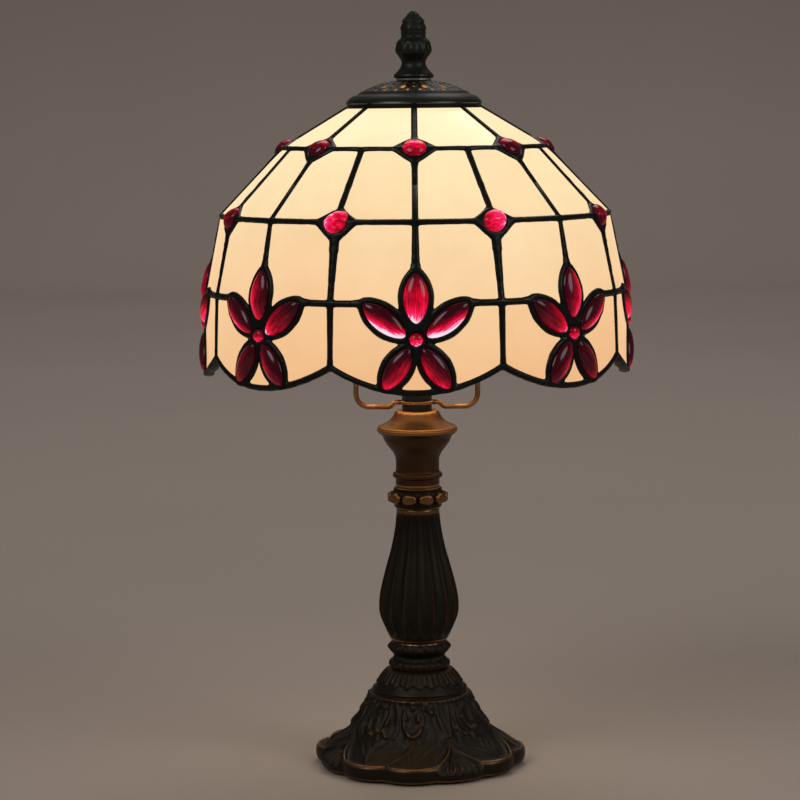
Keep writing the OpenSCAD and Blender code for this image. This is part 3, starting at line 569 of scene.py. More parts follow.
def wrap(flat):
    """Lays a flat pattern on the dome: x round it from -Y, y up its outline, z out of the glass."""
    x, v, out = flat.T
    r = np.interp(v, heights, radii)
    z = np.interp(v, heights, levels)
    r = np.where(v > CROWN_V, radii[-1] - (v - CROWN_V) * math.sin(tilts[-1]), r)
    z = np.where(v > CROWN_V, levels[-1] + (v - CROWN_V) * math.cos(tilts[-1]), z)
    tilt = np.interp(v, tilt_at, tilt_is)
    return from_polar(x / r, r + out * np.cos(tilt), z + out * np.sin(tilt))


def level_to_v(z):
    return float(np.interp(z, levels, heights))


def radius_at(v):
    return float(np.interp(v, heights, radii))


def rib_x(v):
    """Flat place of the seam between two flowers."""
    return radius_at(v) * HALF_SECTOR


# A flower: distance and direction of a petal's middle, its heading, length, half width.
PETALS = [
    (17.5, 90, 90, 21.6, 5.3), (15.8, 31, 38, 22.8, 4.8), (15.8, 149, 142, 22.8, 4.8),
    (14.8, -56, -57, 20.6, 4.7), (14.8, -124, -123, 20.6, 4.7),
]
FLOWER_Z = 206.4
FLOWER_V = level_to_v(FLOWER_Z)
JEWEL_R = 5.15
HUB_JEWEL_R = 2.85
HUB_RING_R = 4.6
FRAME_W = 1.75
FRAME_H = 2.6
SETTING_H = 2.45


def petal_place(petal):
    """Flat place of a petal's middle on the dome, its heading and its length."""
    distance, direction, heading, length, _ = petal
    x = distance * math.cos(math.radians(direction))
    z = FLOWER_Z + distance * math.sin(math.radians(direction))
    v = level_to_v(z)
    r = radius_at(v)
    return Vector((r * math.asin(x / r), v)), math.radians(heading), length


def petal_width(t, roundness=0.6):
    """Share of a petal's half width at a place along it, from -1 to 1."""
    t = np.clip(np.abs(t), 0, 1)
    return roundness * np.sqrt(1 - t * t) + (1 - roundness) * (1 - t * t)


def petal_edge(length, half_width, margin, count=22):
    """Points round a petal's edge, widened by a margin."""
    t = -np.cos(np.linspace(0, math.pi, count + 1))
    x = t * (length / 2 + margin)
    y = petal_width(t) * (half_width + margin)
    upper = list(zip(x.tolist(), y.tolist()))
    return upper + [(-x, -y) for x, y in upper[1:]]


def solder_run(bm, points, width=SEAM, height=2.35):
    """Bead of solder through flat points [x, y] or [x, y, half width]."""
    runs = [(Vector((p[0], p[1], -GLASS / 2)), p[2] if len(p) > 2 else width) for p in points]
    bead = bmesh.new()
    for (a, wide_a), (b, wide_b) in zip(runs, runs[1:]):
        along = b - a
        if along.length < 1e-6:
            continue
        flatten = Matrix.Diagonal((1, 1, height / max(wide_a, wide_b), 1))
        turn = Matrix.Rotation(math.atan2(along.y, along.x), 4, "Z")
        bmesh.ops.create_cone(
            bead, cap_ends=True, segments=18, radius1=wide_a, radius2=wide_b, depth=along.length,
            matrix=Matrix.Translation((a + b) / 2) @ flatten @ turn @ Matrix.Rotation(math.pi / 2, 4, "Y"),
        )
    for at, wide in runs:
        bmesh.ops.create_uvsphere(
            bead, u_segments=16, v_segments=10, radius=wide,
            matrix=Matrix.Translation(at) @ Matrix.Diagonal((1, 1, height / wide, 1)),
        )
    add_to(bm, bead)


def ring_line(x, v, radius, count):
    turns = np.linspace(0, TAU, count + 1)
    return [(x + radius * math.cos(a), v + radius * math.sin(a)) for a in turns]


def setting(bm, x, v):
    """Diamond of solder round a jewel, its points run out into the seams."""
    wide, tall = 9.3, 8.1
    corners = [(x + wide, v), (x, v + tall), (x - wide, v), (x, v - tall), (x + wide, v)]
    for (ax, ay), (bx, by) in zip(corners, corners[1:]):
        waist = (x + 0.48 * (ax + bx - 2 * x), v + 0.48 * (ay + by - 2 * v), 1.9)
        solder_run(bm, [(ax, ay, 1.7), waist, (bx, by, 1.7)], height=SETTING_H)
    solder_run(bm, ring_line(x, v, JEWEL_R + 1.05, 20), 1.7, SETTING_H)
    for side in (-1, 1):
        outward = [(7.9, 2.3), (9.9, 2.0), (12.5, SEAM)]
        solder_run(bm, [(x + side * reach, v, half) for reach, half in outward])
        outward = [(7.0, 2.5), (8.8, 2.2), (12, SEAM)]
        solder_run(bm, [(x, v + side * reach, half) for reach, half in outward])


HEM_LEVELS = 182.4, 192.9
REMESHED = 0.42
THINNED = 0.42


def hem_line(inset, count=20):
    """The scalloped hem from a flower's middle to the cusp, as flat points."""
    lowest, cusp = HEM_LEVELS
    cusp_x = radius_at(level_to_v(cusp)) * math.sin(HALF_SECTOR)
    arc = (cusp_x ** 2 + (cusp - lowest) ** 2) / (2 * (cusp - lowest))
    points = []
    for i in range(count + 1):
        x = cusp_x * i / count
        z = lowest + arc - math.sqrt((arc - inset) ** 2 - x * x)
        v = level_to_v(z)
        r = radius_at(v)
        points.append((r * math.asin(x / r), v))
    return points


def lead_half_sector():
    """Solder of half a sector in the flat, from a flower's middle to the seam beside it."""
    bm = bmesh.new()
    top, _, length = petal_place(PETALS[0])
    tip_v = top.y + length / 2
    solder_run(bm, [(0, CROWN_V + 1.2), (0, ROW1_V)])
    solder_run(bm, [(0, ROW1_V), (0, ROW2_V)])
    swelling = [(9, 2.1), (5.5, 2.3), (2.6, 2.8), (0, 3.4)]
    solder_run(bm, [(0, ROW2_V, SEAM)] + [(0, tip_v + above, half) for above, half in swelling])
    foot = level_to_v(HEM_LEVELS[1] + 0.6)
    ribs = (ROW2_V, ROW1_V, SEAM, SEAM), (ROW3_V, ROW2_V, 1.95, 2.9), (foot, ROW3_V, 1.8, 1.95)
    for low, high, wide_low, wide_high in ribs:
        widen = (wide_high - wide_low) / (high - low)
        rise = np.linspace(low, high, 10)
        solder_run(bm, [(rib_x(v), v, wide_low + widen * (v - low)) for v in rise])
    for v in (ROW1_V, ROW2_V):
        solder_run(bm, [(x, v) for x in np.linspace(-6, rib_x(v) + 6, 12)])
    setting(bm, 0, ROW1_V)
    setting(bm, rib_x(ROW2_V), ROW2_V)
    # A flower's frame: an edge round each petal, a tail at its tip, and the hub.
    for petal in (PETALS[0], PETALS[1], PETALS[3]):
        middle, heading, length = petal_place(petal)
        turn = Matrix.Rotation(heading, 2)
        edge = [middle + turn @ Vector(p) for p in petal_edge(length, petal[4], 1.1)]
        solder_run(bm, edge, FRAME_W, FRAME_H)
    solder_run(bm, ring_line(0, FLOWER_V, HUB_RING_R, 16), 2.1, 2.5)
    side, heading, length = petal_place(PETALS[1])
    tip = side + Matrix.Rotation(heading, 2) @ Vector((length / 2, 0))
    solder_run(bm, [
        (tip.x - 0.5, tip.y + 0.3, 2.7), (tip.x + 2.4, (tip.y + ROW3_V) / 2 + 0.2, 2.3),
        (tip.x + 6, ROW3_V + 0.1, 1.95), (rib_x(ROW3_V) + 5, ROW3_V, 1.9),
    ])
    solder_run(bm, hem_line(1.3), 1.7)
    x, v = hem_line(1.25)[-1]
    solder_run(bm, [(x, v + 0.6), (rib_x(v + 3), v + 3)])
    bm = through_modifier(bm, "REMESH", mode="VOXEL", voxel_size=REMESHED, use_smooth_shade=True)
    # Nothing hangs below the hem.
    hem_x, hem_v = np.array(hem_line(-0.1)).T
    for v in bm.verts:
        lowest = np.interp(abs(v.co.x), hem_x, hem_v)
        if v.co.y < lowest and abs(v.co.x) < hem_x[-1]:
            v.co.y = lowest - 0.1 * (lowest - v.co.y)
    for _ in range(4):
        bmesh.ops.smooth_vert(
            bm, verts=bm.verts, factor=0.5, use_axis_x=True, use_axis_y=True, use_axis_z=True
        )
    return through_modifier(bm, "DECIMATE", ratio=THINNED)


def lead_sector():
    """Half sector wrapped on the dome, trimmed at both of its mirror planes, and mirrored."""
    bm = lead_half_sector()
    move_to(bm, wrap(places(bm)))
    bm.normal_update()
    for v in bm.verts:
        wobble = noise.noise(v.co * 0.22) * 0.16 + noise.noise(v.co * 0.7) * 0.06
        v.co += v.normal * wobble
    edge_normal = (math.cos(HALF_SECTOR), math.sin(HALF_SECTOR), 0)
    for at_normal in ((-1, 0, 0), edge_normal):
        bmesh.ops.bisect_plane(
            bm, geom=whole_of(bm), dist=1e-4,
            plane_co=(0, 0, 0), plane_no=at_normal, clear_outer=True,
        )
    bmesh.ops.mirror(bm, geom=whole_of(bm), axis="X", merge_dist=2e-3)
    return bm


def around(bm, count):
    """Repeats a mesh in equal turns about the axis, joined where copies meet."""
    first = whole_of(bm)
    for k in range(1, count):
        copy = bmesh.ops.duplicate(bm, geom=first)["geom"]
        bmesh.ops.rotate(
            bm, verts=verts_in(copy), cent=(0, 0, 0), matrix=Matrix.Rotation(TAU * k / count, 3, "Z")
        )
    bmesh.ops.remove_doubles(bm, verts=bm.verts, dist=3e-3)
    bmesh.ops.recalc_face_normals(bm, faces=bm.faces)
    return bm


def cut_level(bm, low, high):
    """Keeps what lies between two levels, closed where it is cut."""
    for level, up in ((low, -1), (high, 1)):
        if level is None:
            continue
        cut = bmesh.ops.bisect_plane(
            bm, geom=whole_of(bm), dist=1e-4,
            plane_co=(0, 0, level), plane_no=(0, 0, up), clear_outer=True,
        )["geom_cut"]
        rim = [edge for edge in edges_in(cut) if edge.is_boundary]
        bmesh.ops.holes_fill(bm, edges=rim, sides=0)
    return bm


sector = lead_sector()
stretches = {
    "upper_lead": (271.0, None, ["crown_ribs", "crown_ring", "crown_jewel_settings"]),
    "band_lead": (236.0, 271.0, ["upper_ribs", "band_ring", "band_jewel_settings", "middle_ribs"]),
    "skirt_lead": (None, 236.0, ["skirt_ring", "skirt_ribs", "flower_frames", "hem_lead"]),
}
for name, (low, high, stands_for) in stretches.items():
    part = around(cut_level(sector.copy(), low, high), 8)
    piece(name, part, lead, "shade", stands_for)
sector.free()


# ---------------------------------------------------------------- shade: jewels


def mark_jewel(bm, local, number, glow):
    """Stores each point's place along and across its jewel, its number and how it is lit."""
    layers = [bm.verts.layers.float.new(n) for n in ("along", "across", "number", "glow")]
    for v, (x, y), g in zip(bm.verts, local, glow):
        for layer, value in zip(layers, (x, y, number, g)):
            v[layer] = value


def light_from(k):
    """Flat direction in which a jewel of sector k gathers the bulb's light, and how strongly."""
    turn = TAU * k / 8
    side = math.sin(2 * turn) if abs(math.cos(turn)) > 0.1 else 0
    return (0.8 * side, -1 + 0.4 * abs(side)), 0.66 + 0.34 * abs(math.cos(turn)) ** 3


# How each petal is lit: overall, by its lean, and by its nearness to the hub.
PETAL_LIGHT = [(0.50, 0.70, 0.0), (0.36, 0.95, 0.13), (0.36, 0.95, 0.13), (0.22, 0.60, 0.0), (0.22, 0.60, 0.0)]


def petal_jewel(petal, k, order):
    """Domed petal of pressed glass in its place on the dome."""
    middle, heading, length = petal_place(petal)
    half, half_width = length / 2, petal[4]
    bm = bmesh.new()
    bmesh.ops.create_uvsphere(
        bm, u_segments=44, v_segments=30, radius=1, matrix=Matrix.Rotation(math.pi / 2, 4, "Y")
    )
    p = places(bm)
    x = p[:, 0]
    turn = np.arctan2(p[:, 2], p[:, 1])
    round_off = np.sqrt(np.maximum(1 - x * x, 0))
    up = np.sin(turn)
    across = np.cos(turn) * petal_width(x)
    y = across * half_width
    z = np.where(up > 0, up * 3.0 * round_off ** 0.85 + 0.2, np.maximum(up * 3.2, -GLASS - 0.1))
    cos, sin = math.cos(heading), math.sin(heading)
    # Light gathers where the dome leans away from the bulb above it.
    (toward_x, toward_y), strength = light_from(k)
    end = np.sign(x) * x * x * 0.75
    lean = (end * cos - across * sin) * toward_x + (end * sin + across * cos) * toward_y
    # The upper petals stand nearer the bulb than the lower ones; the side ones are hot by the hub.
    near_bulb, gain, root = PETAL_LIGHT[order]
    glow = (near_bulb + gain * lean - root * x) * strength
    along = x * half
    flat = [middle.x + along * cos - y * sin, middle.y + along * sin + y * cos, z]
    mark_jewel(bm, np.stack([x, y / 6], axis=1), 7.3 * k + 1.9 * order, glow)
    move_to(bm, wrap(np.stack(flat, axis=1)))
    return bm


def round_jewel(x, v, radius, proud, number, brightness, lean):
    """Domed round jewel with a flat back."""
    bm = bmesh.new()
    bmesh.ops.create_uvsphere(bm, u_segments=40, v_segments=22, radius=1)
    p = places(bm)
    up = p[:, 2]
    z = np.where(up > 0, up * (proud - 0.5) + 0.5, np.maximum(up * 4, -GLASS - 0.1))
    flat = np.stack([x + p[:, 0] * radius, v + p[:, 1] * radius, z], axis=1)
    glow = brightness + lean[0] * p[:, 0] + lean[1] * p[:, 1]
    mark_jewel(bm, p[:, :2], number, glow)
    move_to(bm, wrap(flat))
    return bm


def gather(meshes):
    """One mesh of several, facing outwards."""
    whole = bmesh.new()
    for bm in meshes:
        add_to(whole, bm)
    bmesh.ops.recalc_face_normals(whole, faces=whole.faces)
    return whole


def jewel_ring(make):
    """Eight copies of what make(number) gives, one in each sector."""
    made = []
    for k in range(8):
        made.append(make(k))
        turn = Matrix.Rotation(TAU * k / 8, 3, "Z")
        bmesh.ops.rotate(made[-1], verts=made[-1].verts, cent=(0, 0, 0), matrix=turn)
    return gather(made)


def petals(k):
    return gather([petal_jewel(petal, k, order) for order, petal in enumerate(PETALS)])


def flower_centre(k):
    return round_jewel(
        0, FLOWER_V, HUB_JEWEL_R, 2.6, 3.1 * k, 0.55 * light_from(k)[1], (0, -0.34)
    )


def crown_jewel(k):
    brightness = 0.56 * light_from(k)[1] ** 3
    return round_jewel(0, ROW1_V, JEWEL_R, 3.0, 5.7 * k + 2, brightness, (0, 0.26))


def band_jewel(k):
    turn = TAU * (k + 0.5) / 8
    brightness, lean = 0.70 * abs(math.cos(turn)) ** 0.8, (0.22 * math.sin(2 * turn), 0.08)
    return round_jewel(rib_x(ROW2_V), ROW2_V, JEWEL_R, 3.0, 4.3 * k + 5, brightness, lean)


for name, make, material, stands_for in (
    ("ruby_petals", petals, ruby_petal, "petal_jewels"),
    ("ruby_flower_centres", flower_centre, ruby_round, "flower_centre_jewels"),
    ("ruby_crown_jewels", crown_jewel, ruby_round, "crown_jewels"),
    ("ruby_band_jewels", band_jewel, ruby_round, "band_jewels"),
):
    piece(name, jewel_ring(make), material, "shade", [stands_for])


# ---------------------------------------------------------------- stand

ROD_HOLE = 5.1
LOBES = math.radians(30)
LOBE_RING, LOBE_R = 31, 18
SHELL_AT = math.radians(24)
felt_top = span("base_felt")[1]
base_top = span("base_casting")[1]
INLET_LEVEL = sum(span("cord_grommet")) / 2


def leaf_relief(angle, radius):
    """Height that the foot's leaves and shells add, over a plan of the foot."""
    x, y = radius * np.sin(angle), radius * np.cos(angle)
    lift = np.zeros_like(radius)
    for step, kind in (0, "shell"), (2, "leaf"), (1, "leaf"):
        for quarter in range(4):
            at = SHELL_AT + (step + 3 * quarter) * LOBES
            cx, cy = LOBE_RING * math.sin(at), LOBE_RING * math.cos(at)
            out = x * math.sin(at) + y * math.cos(at)
            across = x * math.cos(at) - y * math.sin(at)
            d = np.hypot(x - cx, y - cy)
            inside = smoothstep(18.3, 17.5, d) * smoothstep(29, 34, radius)
            if kind == "shell":
                fan = np.arctan2(across, out - 34)
                reach = np.hypot(across, out - 34)
                ribs = 0.5 + 0.5 * np.cos(fan * 23)
                form = 1.3 * ribs ** 1.3 * smoothstep(3, 8, reach) - 0.6 + 1.1 * ridge(reach - 3, 1.6)
                form = form - 0.9 * smoothstep(15.5, 18, d)
            else:
                form = 0.9 + 1.5 * ridge(d - 16.7, 1.0) - 0.9 * ridge(d - 13.6, 3.0)
                vein = np.abs(across + 1.6 * np.sin((out - 34) * 0.35))
                form = form + 0.75 * ridge(vein, 0.9) * smoothstep(46, 42, out) * smoothstep(31, 35, out)
                side = np.abs(np.sin((out * 0.9 + np.abs(across)) * 0.75))
                form = form + 0.35 * side * smoothstep(14, 9, d)
            lift = lift * (1 - inside) + form * inside
    return lift


# Scrolls and stems on a quarter of the cone: [degrees, level] lines with their height; and beads.
SCROLLS = [
    ([(-14, 25.5), (-12.5, 28), (-15, 29), (-16.2, 26.6), (-14.5, 22.5), (-10, 19), (-5, 18.3),
      (0, 20.5), (2.5, 24.5), (1.2, 27.6), (-1.5, 27), (-1, 25)], 1.25),
    ([(3, 29.8), (5, 31.4), (8, 31.2), (9.4, 29.2)], 1.0),
    ([(-40, 30), (-44, 27), (-44, 22.5), (-39, 19.5), (-33, 20), (-29, 17.6)], 1.2),
    ([(-33, 30), (-31, 26), (-33, 22.5)], 0.9),
    ([(-26, 31), (-22, 27), (-21, 21.5), (-23, 17.5)], 0.9),
    ([(17, 31), (19, 25), (23, 18)], 1.0),
    ([(31, 31), (29, 25), (25, 18)], 1.0),
    ([(24, 31.5), (24, 24), (24, 18.5)], 0.8),
    ([(38, 30), (36, 25), (38, 20), (42, 18)], 1.1),
]
CONE_R = 24.0
BEADS = [(12, 30.6), (12, 28.3), (-50, 26), (44, 25), (-8, 30.5), (-8, 32), (34, 21)]


def cone_relief(angle, radius, level):
    """How far the cone's scrolls, folds and leaf edge stand out."""
    turn = np.degrees((angle + math.pi / 4) % (math.pi / 2) - math.pi / 4)
    turn = np.where(turn > 45, turn - 90, turn)
    scale = np.radians(1.0) * radius
    lift = np.zeros_like(radius)
    lower = smoothstep(34, 31.5, level) * smoothstep(13.5, 17.5, level)
    for line, weight in SCROLLS:
        path = [(math.radians(a) * CONE_R, z) for a, z in flowing(line, 1.2)]
        d = near_line(turn * np.radians(CONE_R), level, path)
        lift = np.maximum(lift, weight * ridge(d, 0.95))
    for a, z in BEADS:
        d = np.hypot((turn - a) * scale, level - z)
        lift = np.maximum(lift, 1.3 * ridge(d, 1.05))
    folds = 0.5 + 0.5 * np.cos((angle - SHELL_AT) * 12)
    sweep_back = (angle - SHELL_AT) * 24 + 0.5 * np.sin(level * 0.5 + angle * 4)
    fine = np.abs(np.sin(sweep_back)) ** 0.7
    out = lower * (lift + 1.0 * folds * smoothstep(30, 17, level) + 0.5 * fine)
    # Two raised rings, and the ragged lower edge of the leaves above them.
    slope = level - 33.9
    for at, width, high in (1.7, 0.75, 1.0), (-1.0, 0.8, 1.15), (0.35, 0.5, -0.5):
        out = out + high * ridge(slope - at, width)
    teeth = 37.8 + 3.4 * np.abs(fold(angle * 20 / TAU, 1.0))
    leaf = smoothstep(-0.35, 0.35, level - teeth) * smoothstep(45.2, 43.5, level)
    return out + leaf * (0.85 + 0.25 * np.cos(angle * 40))


def lobed_radius(angle):
    """Radius of the foot's edge: equal round lobes, those of the shells a little smaller."""
    a = fold(angle - SHELL_AT, LOBES)
    reach = LOBE_RING * np.cos(a) + np.sqrt(LOBE_R ** 2 - (LOBE_RING * np.sin(a)) ** 2)
    which = np.round((angle - SHELL_AT) / LOBES) % 3
    return reach - np.where(which == 0, 0.9, 0.0) * np.cos(a * 6) ** 2


def base_casting():
    """Foot of twelve lobes under a cone with scrolls, cast in one, with a rod hole and a hollow."""
    outer = [(ROD_HOLE, base_top)] + flowing([(ROD_HOLE + 1, base_top), (13.4, base_top)], 2.5)
    cone = [(14, 44.7), (17.6, 40.5), (20.5, 36.4), (22.6, 32.8), (25.2, 27.5), (28.2, 21.6)]
    outer += flowing(cone + [(31.5, 16.6), (36.5, 12.0), (42.5, 8.6), (46.8, 6.7)], 0.62)
    outer += flowing([(47.9, 6.35), (48.8, 5.7), (49, 4.4), (48.6, 2.4), (47.8, felt_top)], 0.8)
    inner = [(41, felt_top), (41, 5.2), (35, 9.6), (27.5, 17), (22, 29), (ROD_HOLE, 29)]
    bm = turned(outer + inner, 560, closed=True)
    angle, radius, level = round_places(bm)
    outside = on_outline(radius, level, outer[2:-1])
    share = np.clip((radius - LOBE_RING) / LOBE_R, 0, None)
    lobed = LOBE_RING + (lobed_radius(angle) - LOBE_RING) * share
    lobed = np.where(radius > LOBE_RING, lobed, radius)
    top = outside & (level > 6.4)
    rise = np.where(top, leaf_relief(angle, lobed) * smoothstep(29, 35, radius), 0)
    edge = outside & (level <= 6.4) & (level > 4)
    on_edge = leaf_relief(angle, np.minimum(lobed, lobed_radius(angle) - 0.6))
    rise = np.where(edge, on_edge * smoothstep(3.8, 6.4, level), rise)
    out = np.where(outside & (level > 13), cone_relief(angle, radius, level), 0)
    # The foot stands clear of the tube cast on its back for the cord.
    spread = np.hypot(level - INLET_LEVEL, lobed * np.abs(np.sin(math.pi - angle)))
    behind = (np.cos(angle) < 0) & outside & (lobed > 40) & (spread < 8)
    lobed = np.where(behind, np.minimum(lobed, 46.2 + 3 * smoothstep(5.6, 8, spread)), lobed)
    move_to(bm, from_polar(angle, lobed + out * 0.9, level + rise + out * 0.42))
    rim = smoothstep(45, 48, lobed) * smoothstep(6.3, 5.0, level)
    high_spots = 0.085 * np.clip(out, 0, 1.4) * (level > 13) + 0.05 * np.clip(rise, 0, 1.5)
    mark(bm, "rub", high_spots - 0.34 * rim)
    return bm


def inlet_boss():
    """Tube cast on the back of the foot for the cord's grommet."""
    outline = [(4.15, 0), (5.6, 0), (5.6, 11.2), (5.2, 11.8), (4.5, 12), (4.15, 11.6)]
    bm = turned(outline, 64, closed=True)
    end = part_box("cord_grommet")[1].y / MM - 0.6
    back = Matrix.Translation((0, end - 12, INLET_LEVEL)) @ Matrix.Rotation(-math.pi / 2, 4, "X")
    bmesh.ops.transform(bm, matrix=back, verts=bm.verts)
    return bm


def fluted_column():
    """Baluster with sixteen hollow flutes that meet in ridges."""
    low, high = span("baluster_column")
    keys = [(13.0, low + 0.2), (15.4, low + 5), (18.0, low + 11.5), (18.5, low + 16),
            (17.9, low + 22.5), (15.4, low + 33), (12.6, low + 43), (10.8, low + 52),
            (10.1, low + 58), (9.9, high)]
    outer = [(ROD_HOLE, low), (12.6, low)] + flowing(keys, 0.8)
    bm = turned(outer + [(ROD_HOLE, high)], 384, closed=True)
    angle, radius, level = round_places(bm)
    across = np.abs(np.sin(angle * 8))
    depth = 0.105 * radius * across ** 0.62
    depth *= smoothstep(low + 1.2, low + 5.5, level) * smoothstep(high - 0.6, high - 4.5, level)
    # Each flute ends in a rounded tip.
    for inward in (level - low - 1) / 5, (high - level - 1) / 4:
        depth *= smoothstep(0, 1, inward - 0.8 * (1 - across))
    outside = radius > ROD_HOLE + 0.5
    move_to(bm, from_polar(angle, np.where(outside, radius - depth, radius), level))
    ends = smoothstep(low + 3, low + 1, level) + smoothstep(high - 2.5, high - 1, level)
    mark(bm, "rub", -0.6 * ends)
    return bm


def leaf_collar():
    """Two rolls of small leaves between base and column."""
    low, high = span("leaf_collar")
    keys = [(13.6, low), (14.2, low + 1.4), (14.1, low + 3.0), (12.7, low + 4.6),
            (12.3, low + 6.0), (13.2, low + 7.4), (14.3, low + 9.3), (14.2, low + 10.8),
            (13.2, low + 12.3), (12.9, high)]
    bm = turned([(ROD_HOLE, low)] + flowing(keys, 0.45) + [(ROD_HOLE, high)], 320, closed=True)
    angle, radius, z = round_places(bm)
    level = z - low
    roll = ridge(level - 10, 2.2) * 0.75 * np.abs(np.cos(angle * 8)) ** 0.8
    lower = ridge(level - 2.2, 1.8) * 0.7 * np.abs(np.sin(angle * 10)) ** 0.8
    veins = 0.22 * np.cos(angle * 48) * smoothstep(3.5, 6, level) * smoothstep(12.5, 10, level)
    waist = -0.5 * ridge(level - 6, 1.5) * (0.5 + 0.5 * np.cos(angle * 16))
    out = np.where(radius > 8, roll + lower + veins + waist - 0.55, 0)
    move_to(bm, from_polar(angle, radius + out, z))
    mark(bm, "rub", -0.3 * smoothstep(10.6, 11.6, level))
    return bm


def beaded_knop():
    """Ring of oval beads between two fillets."""
    low, high = span("beaded_knop")
    middle = (low + high) / 2
    keys = [(10.2, low), (10.9, low + 0.9), (11.0, low + 1.9), (12.0, middle - 1.9),
            (12.6, middle), (12.0, middle + 1.9), (11.0, high - 1.8), (11.2, high - 1.1),
            (10.9, high - 0.5), (10.3, high)]
    bm = turned([(ROD_HOLE, low)] + flowing(keys, 0.35) + [(ROD_HOLE, high)], 360, closed=True)
    angle, radius, z = round_places(bm)
    level = z - middle
    a = fold(angle - TAU / 20, TAU / 10)
    size = 1 - (a * 12 / 3.5) ** 2 - (level / 2.9) ** 2
    bead = np.sqrt(np.maximum(size, 0)) * 2.3
    groove = -0.7 * ridge(np.abs(a) - TAU / 20, 0.05) * ridge(level, 2.6)
    ground = 0.36 * smoothstep(3.4, 2.0, np.abs(level)) * (size < 0)
    out = np.where(radius > 8, bead - ground + groove, 0)
    move_to(bm, from_polar(angle, np.minimum(radius + out, 13.95), z))
    mark(bm, "rub", np.where(size > 0, 0.56 * np.sqrt(np.maximum(size, 0)), -0.5))
    return bm


def cup_neck():
    """Plain neck with a ring, opening into a cup."""
    low, high = span("cup_neck")
    outer = flowing([(10.0, low), (10.15, low + 1.2), (10.1, low + 3.6)], 0.7)
    outer += flowing([(10.5, low + 4.0), (11.3, low + 4.5), (11.5, low + 5.3), (11.3, low + 6.1),
                      (10.5, low + 6.6)], 0.3)
    outer += flowing([(10.1, low + 7.0), (10.0, low + 10), (10.15, low + 13.2), (11.2, low + 15.8),
                      (13.2, low + 18.4), (14.9, low + 20.8), (15.9, low + 23.2)], 0.7)
    outer += flowing([(16.6, low + 24.2), (17.9, low + 25.0), (18.6, low + 26.0), (18.5, high)], 0.35)
    bm = turned([(ROD_HOLE, low)] + outer + [(ROD_HOLE, high)], 160, closed=True)
    mark(bm, "rub", -0.6 * smoothstep(low + 3.4, low + 2.2, places(bm)[:, 2]))
    return bm


def bell_cap():
    """Spun cover on the cup, hollow at its side, with a rolled rim."""
    low, high = span("bell_cap")
    outer = flowing([(17.9, low), (18.25, low + 0.35), (18.0, low + 0.9), (17.0, low + 1.3)], 0.25)
    outer += flowing([(16.6, low + 1.5), (14.4, low + 2.5), (12.2, low + 4.2), (10.9, low + 6.0),
                      (10.2, low + 7.6), (9.9, high - 0.2), (9.6, high)], 0.5)
    inner = [(ROD_HOLE, high), (ROD_HOLE, high - 1.2), (8.9, high - 1.2), (9.4, low + 6),
             (11, low + 3.2), (15.5, low)]
    return turned(outer + inner, 192, closed=True)


stand_pieces = [
    ("cast_base", base_casting, bronze, "antique_bronze", ["base_casting"], 1.9),
    ("cast_inlet_boss", inlet_boss, bronze, "antique_bronze", [], 1.0),
    ("cast_leaf_collar", leaf_collar, bronze, "antique_bronze", ["leaf_collar"], 1.8),
    ("cast_fluted_column", fluted_column, bronze, "antique_bronze", ["baluster_column"], 1.0),
    ("cast_beaded_knop", beaded_knop, bronze, "antique_bronze", ["beaded_knop"], 0.8),
    ("cast_cup_neck", cup_neck, brown_bronze, "antique_bronze", ["cup_neck"], 0.9),
    ("spun_bell_cap", bell_cap, spun_bronze, "spun_bronze", ["bell_cap"], 0.8),
]
for name, make, material, slot, stands_for, worn in stand_pieces:
    piece(name, make(), material, "stand", stands_for, worn)


# ---------------------------------------------------------------- harp

WIRE = 1.2
WIRE_STEP = 3.0
harp_low, harp_high = span("harp_wire")
ring_low, ring_high = span("harp_ring")


def half_harp():
    """Wire that steps down from the ring, runs out, turns up, and closes over the shoulder."""
    wire_low = harp_low + WIRE
    top = harp_high - WIRE
    start = (ring_low + ring_high) / 2
    arm, corner, shoulder = 28.0, 6.0, 25.0
    bm = bmesh.new()
    bmesh.ops.create_circle(
        bm, cap_ends=False, segments=20, radius=WIRE,
        matrix=Matrix.Translation((6.9, 0, start)) @ Matrix.Rotation(math.pi / 2, 4, "Y"),
    )
    front = bm.edges[:]

    def straight(reach):
        nonlocal front
        pulled = bmesh.ops.extrude_edge_only(bm, edges=front)["geom"]
        bmesh.ops.translate(bm, vec=reach, verts=verts_in(pulled))
        front = edges_in(pulled)

    def bend(centre, degrees, count):
        nonlocal front
        rim = list({v for e in front for v in e.verts})
        front = edges_in(bmesh.ops.spin(
            bm, geom=rim + front, cent=centre, axis=(0, 1, 0), angle=math.radians(degrees),
            steps=count,
        )["geom_last"])

    turn = math.degrees(math.acos(1 - (start - wire_low) / 2 / WIRE_STEP))
    along = WIRE_STEP * math.sin(math.radians(turn))
    straight((2.2, 0, 0))
    x = 9.1
    bend((x, 0, start - WIRE_STEP), turn, 6)
    x += along
    bend((x + along, 0, wire_low + WIRE_STEP), -turn, 6)
    x += along
    straight((arm - corner - x, 0, 0))
    bend((arm - corner, 0, wire_low + corner), -90, 12)
    straight((0, 0, top - shoulder - wire_low - corner))
    bend((arm - shoulder, 0, top - shoulder), -90, 24)
    bmesh.ops.holes_fill(bm, edges=[e for e in bm.edges if e.is_boundary], sides=0)
    return bm


def harp_wire():
    other = half_harp()
    bmesh.ops.mirror(other, geom=whole_of(other), axis="X", merge_dist=0)
    bmesh.ops.delete(other, geom=[v for v in other.verts if v.co.x > 0], context="VERTS")
    return gather([half_harp(), other])


def harp_ring():
    rim = [(0.15, 5.15), (0, 5.3), (0, 7.5), (0.2, 7.8), (0.5, 7.9)]
    outline = [(r, ring_low + z) for z, r in rim] + [(r, ring_high - z) for z, r in rim[::-1]]
    return turned(outline, 96, closed=True)


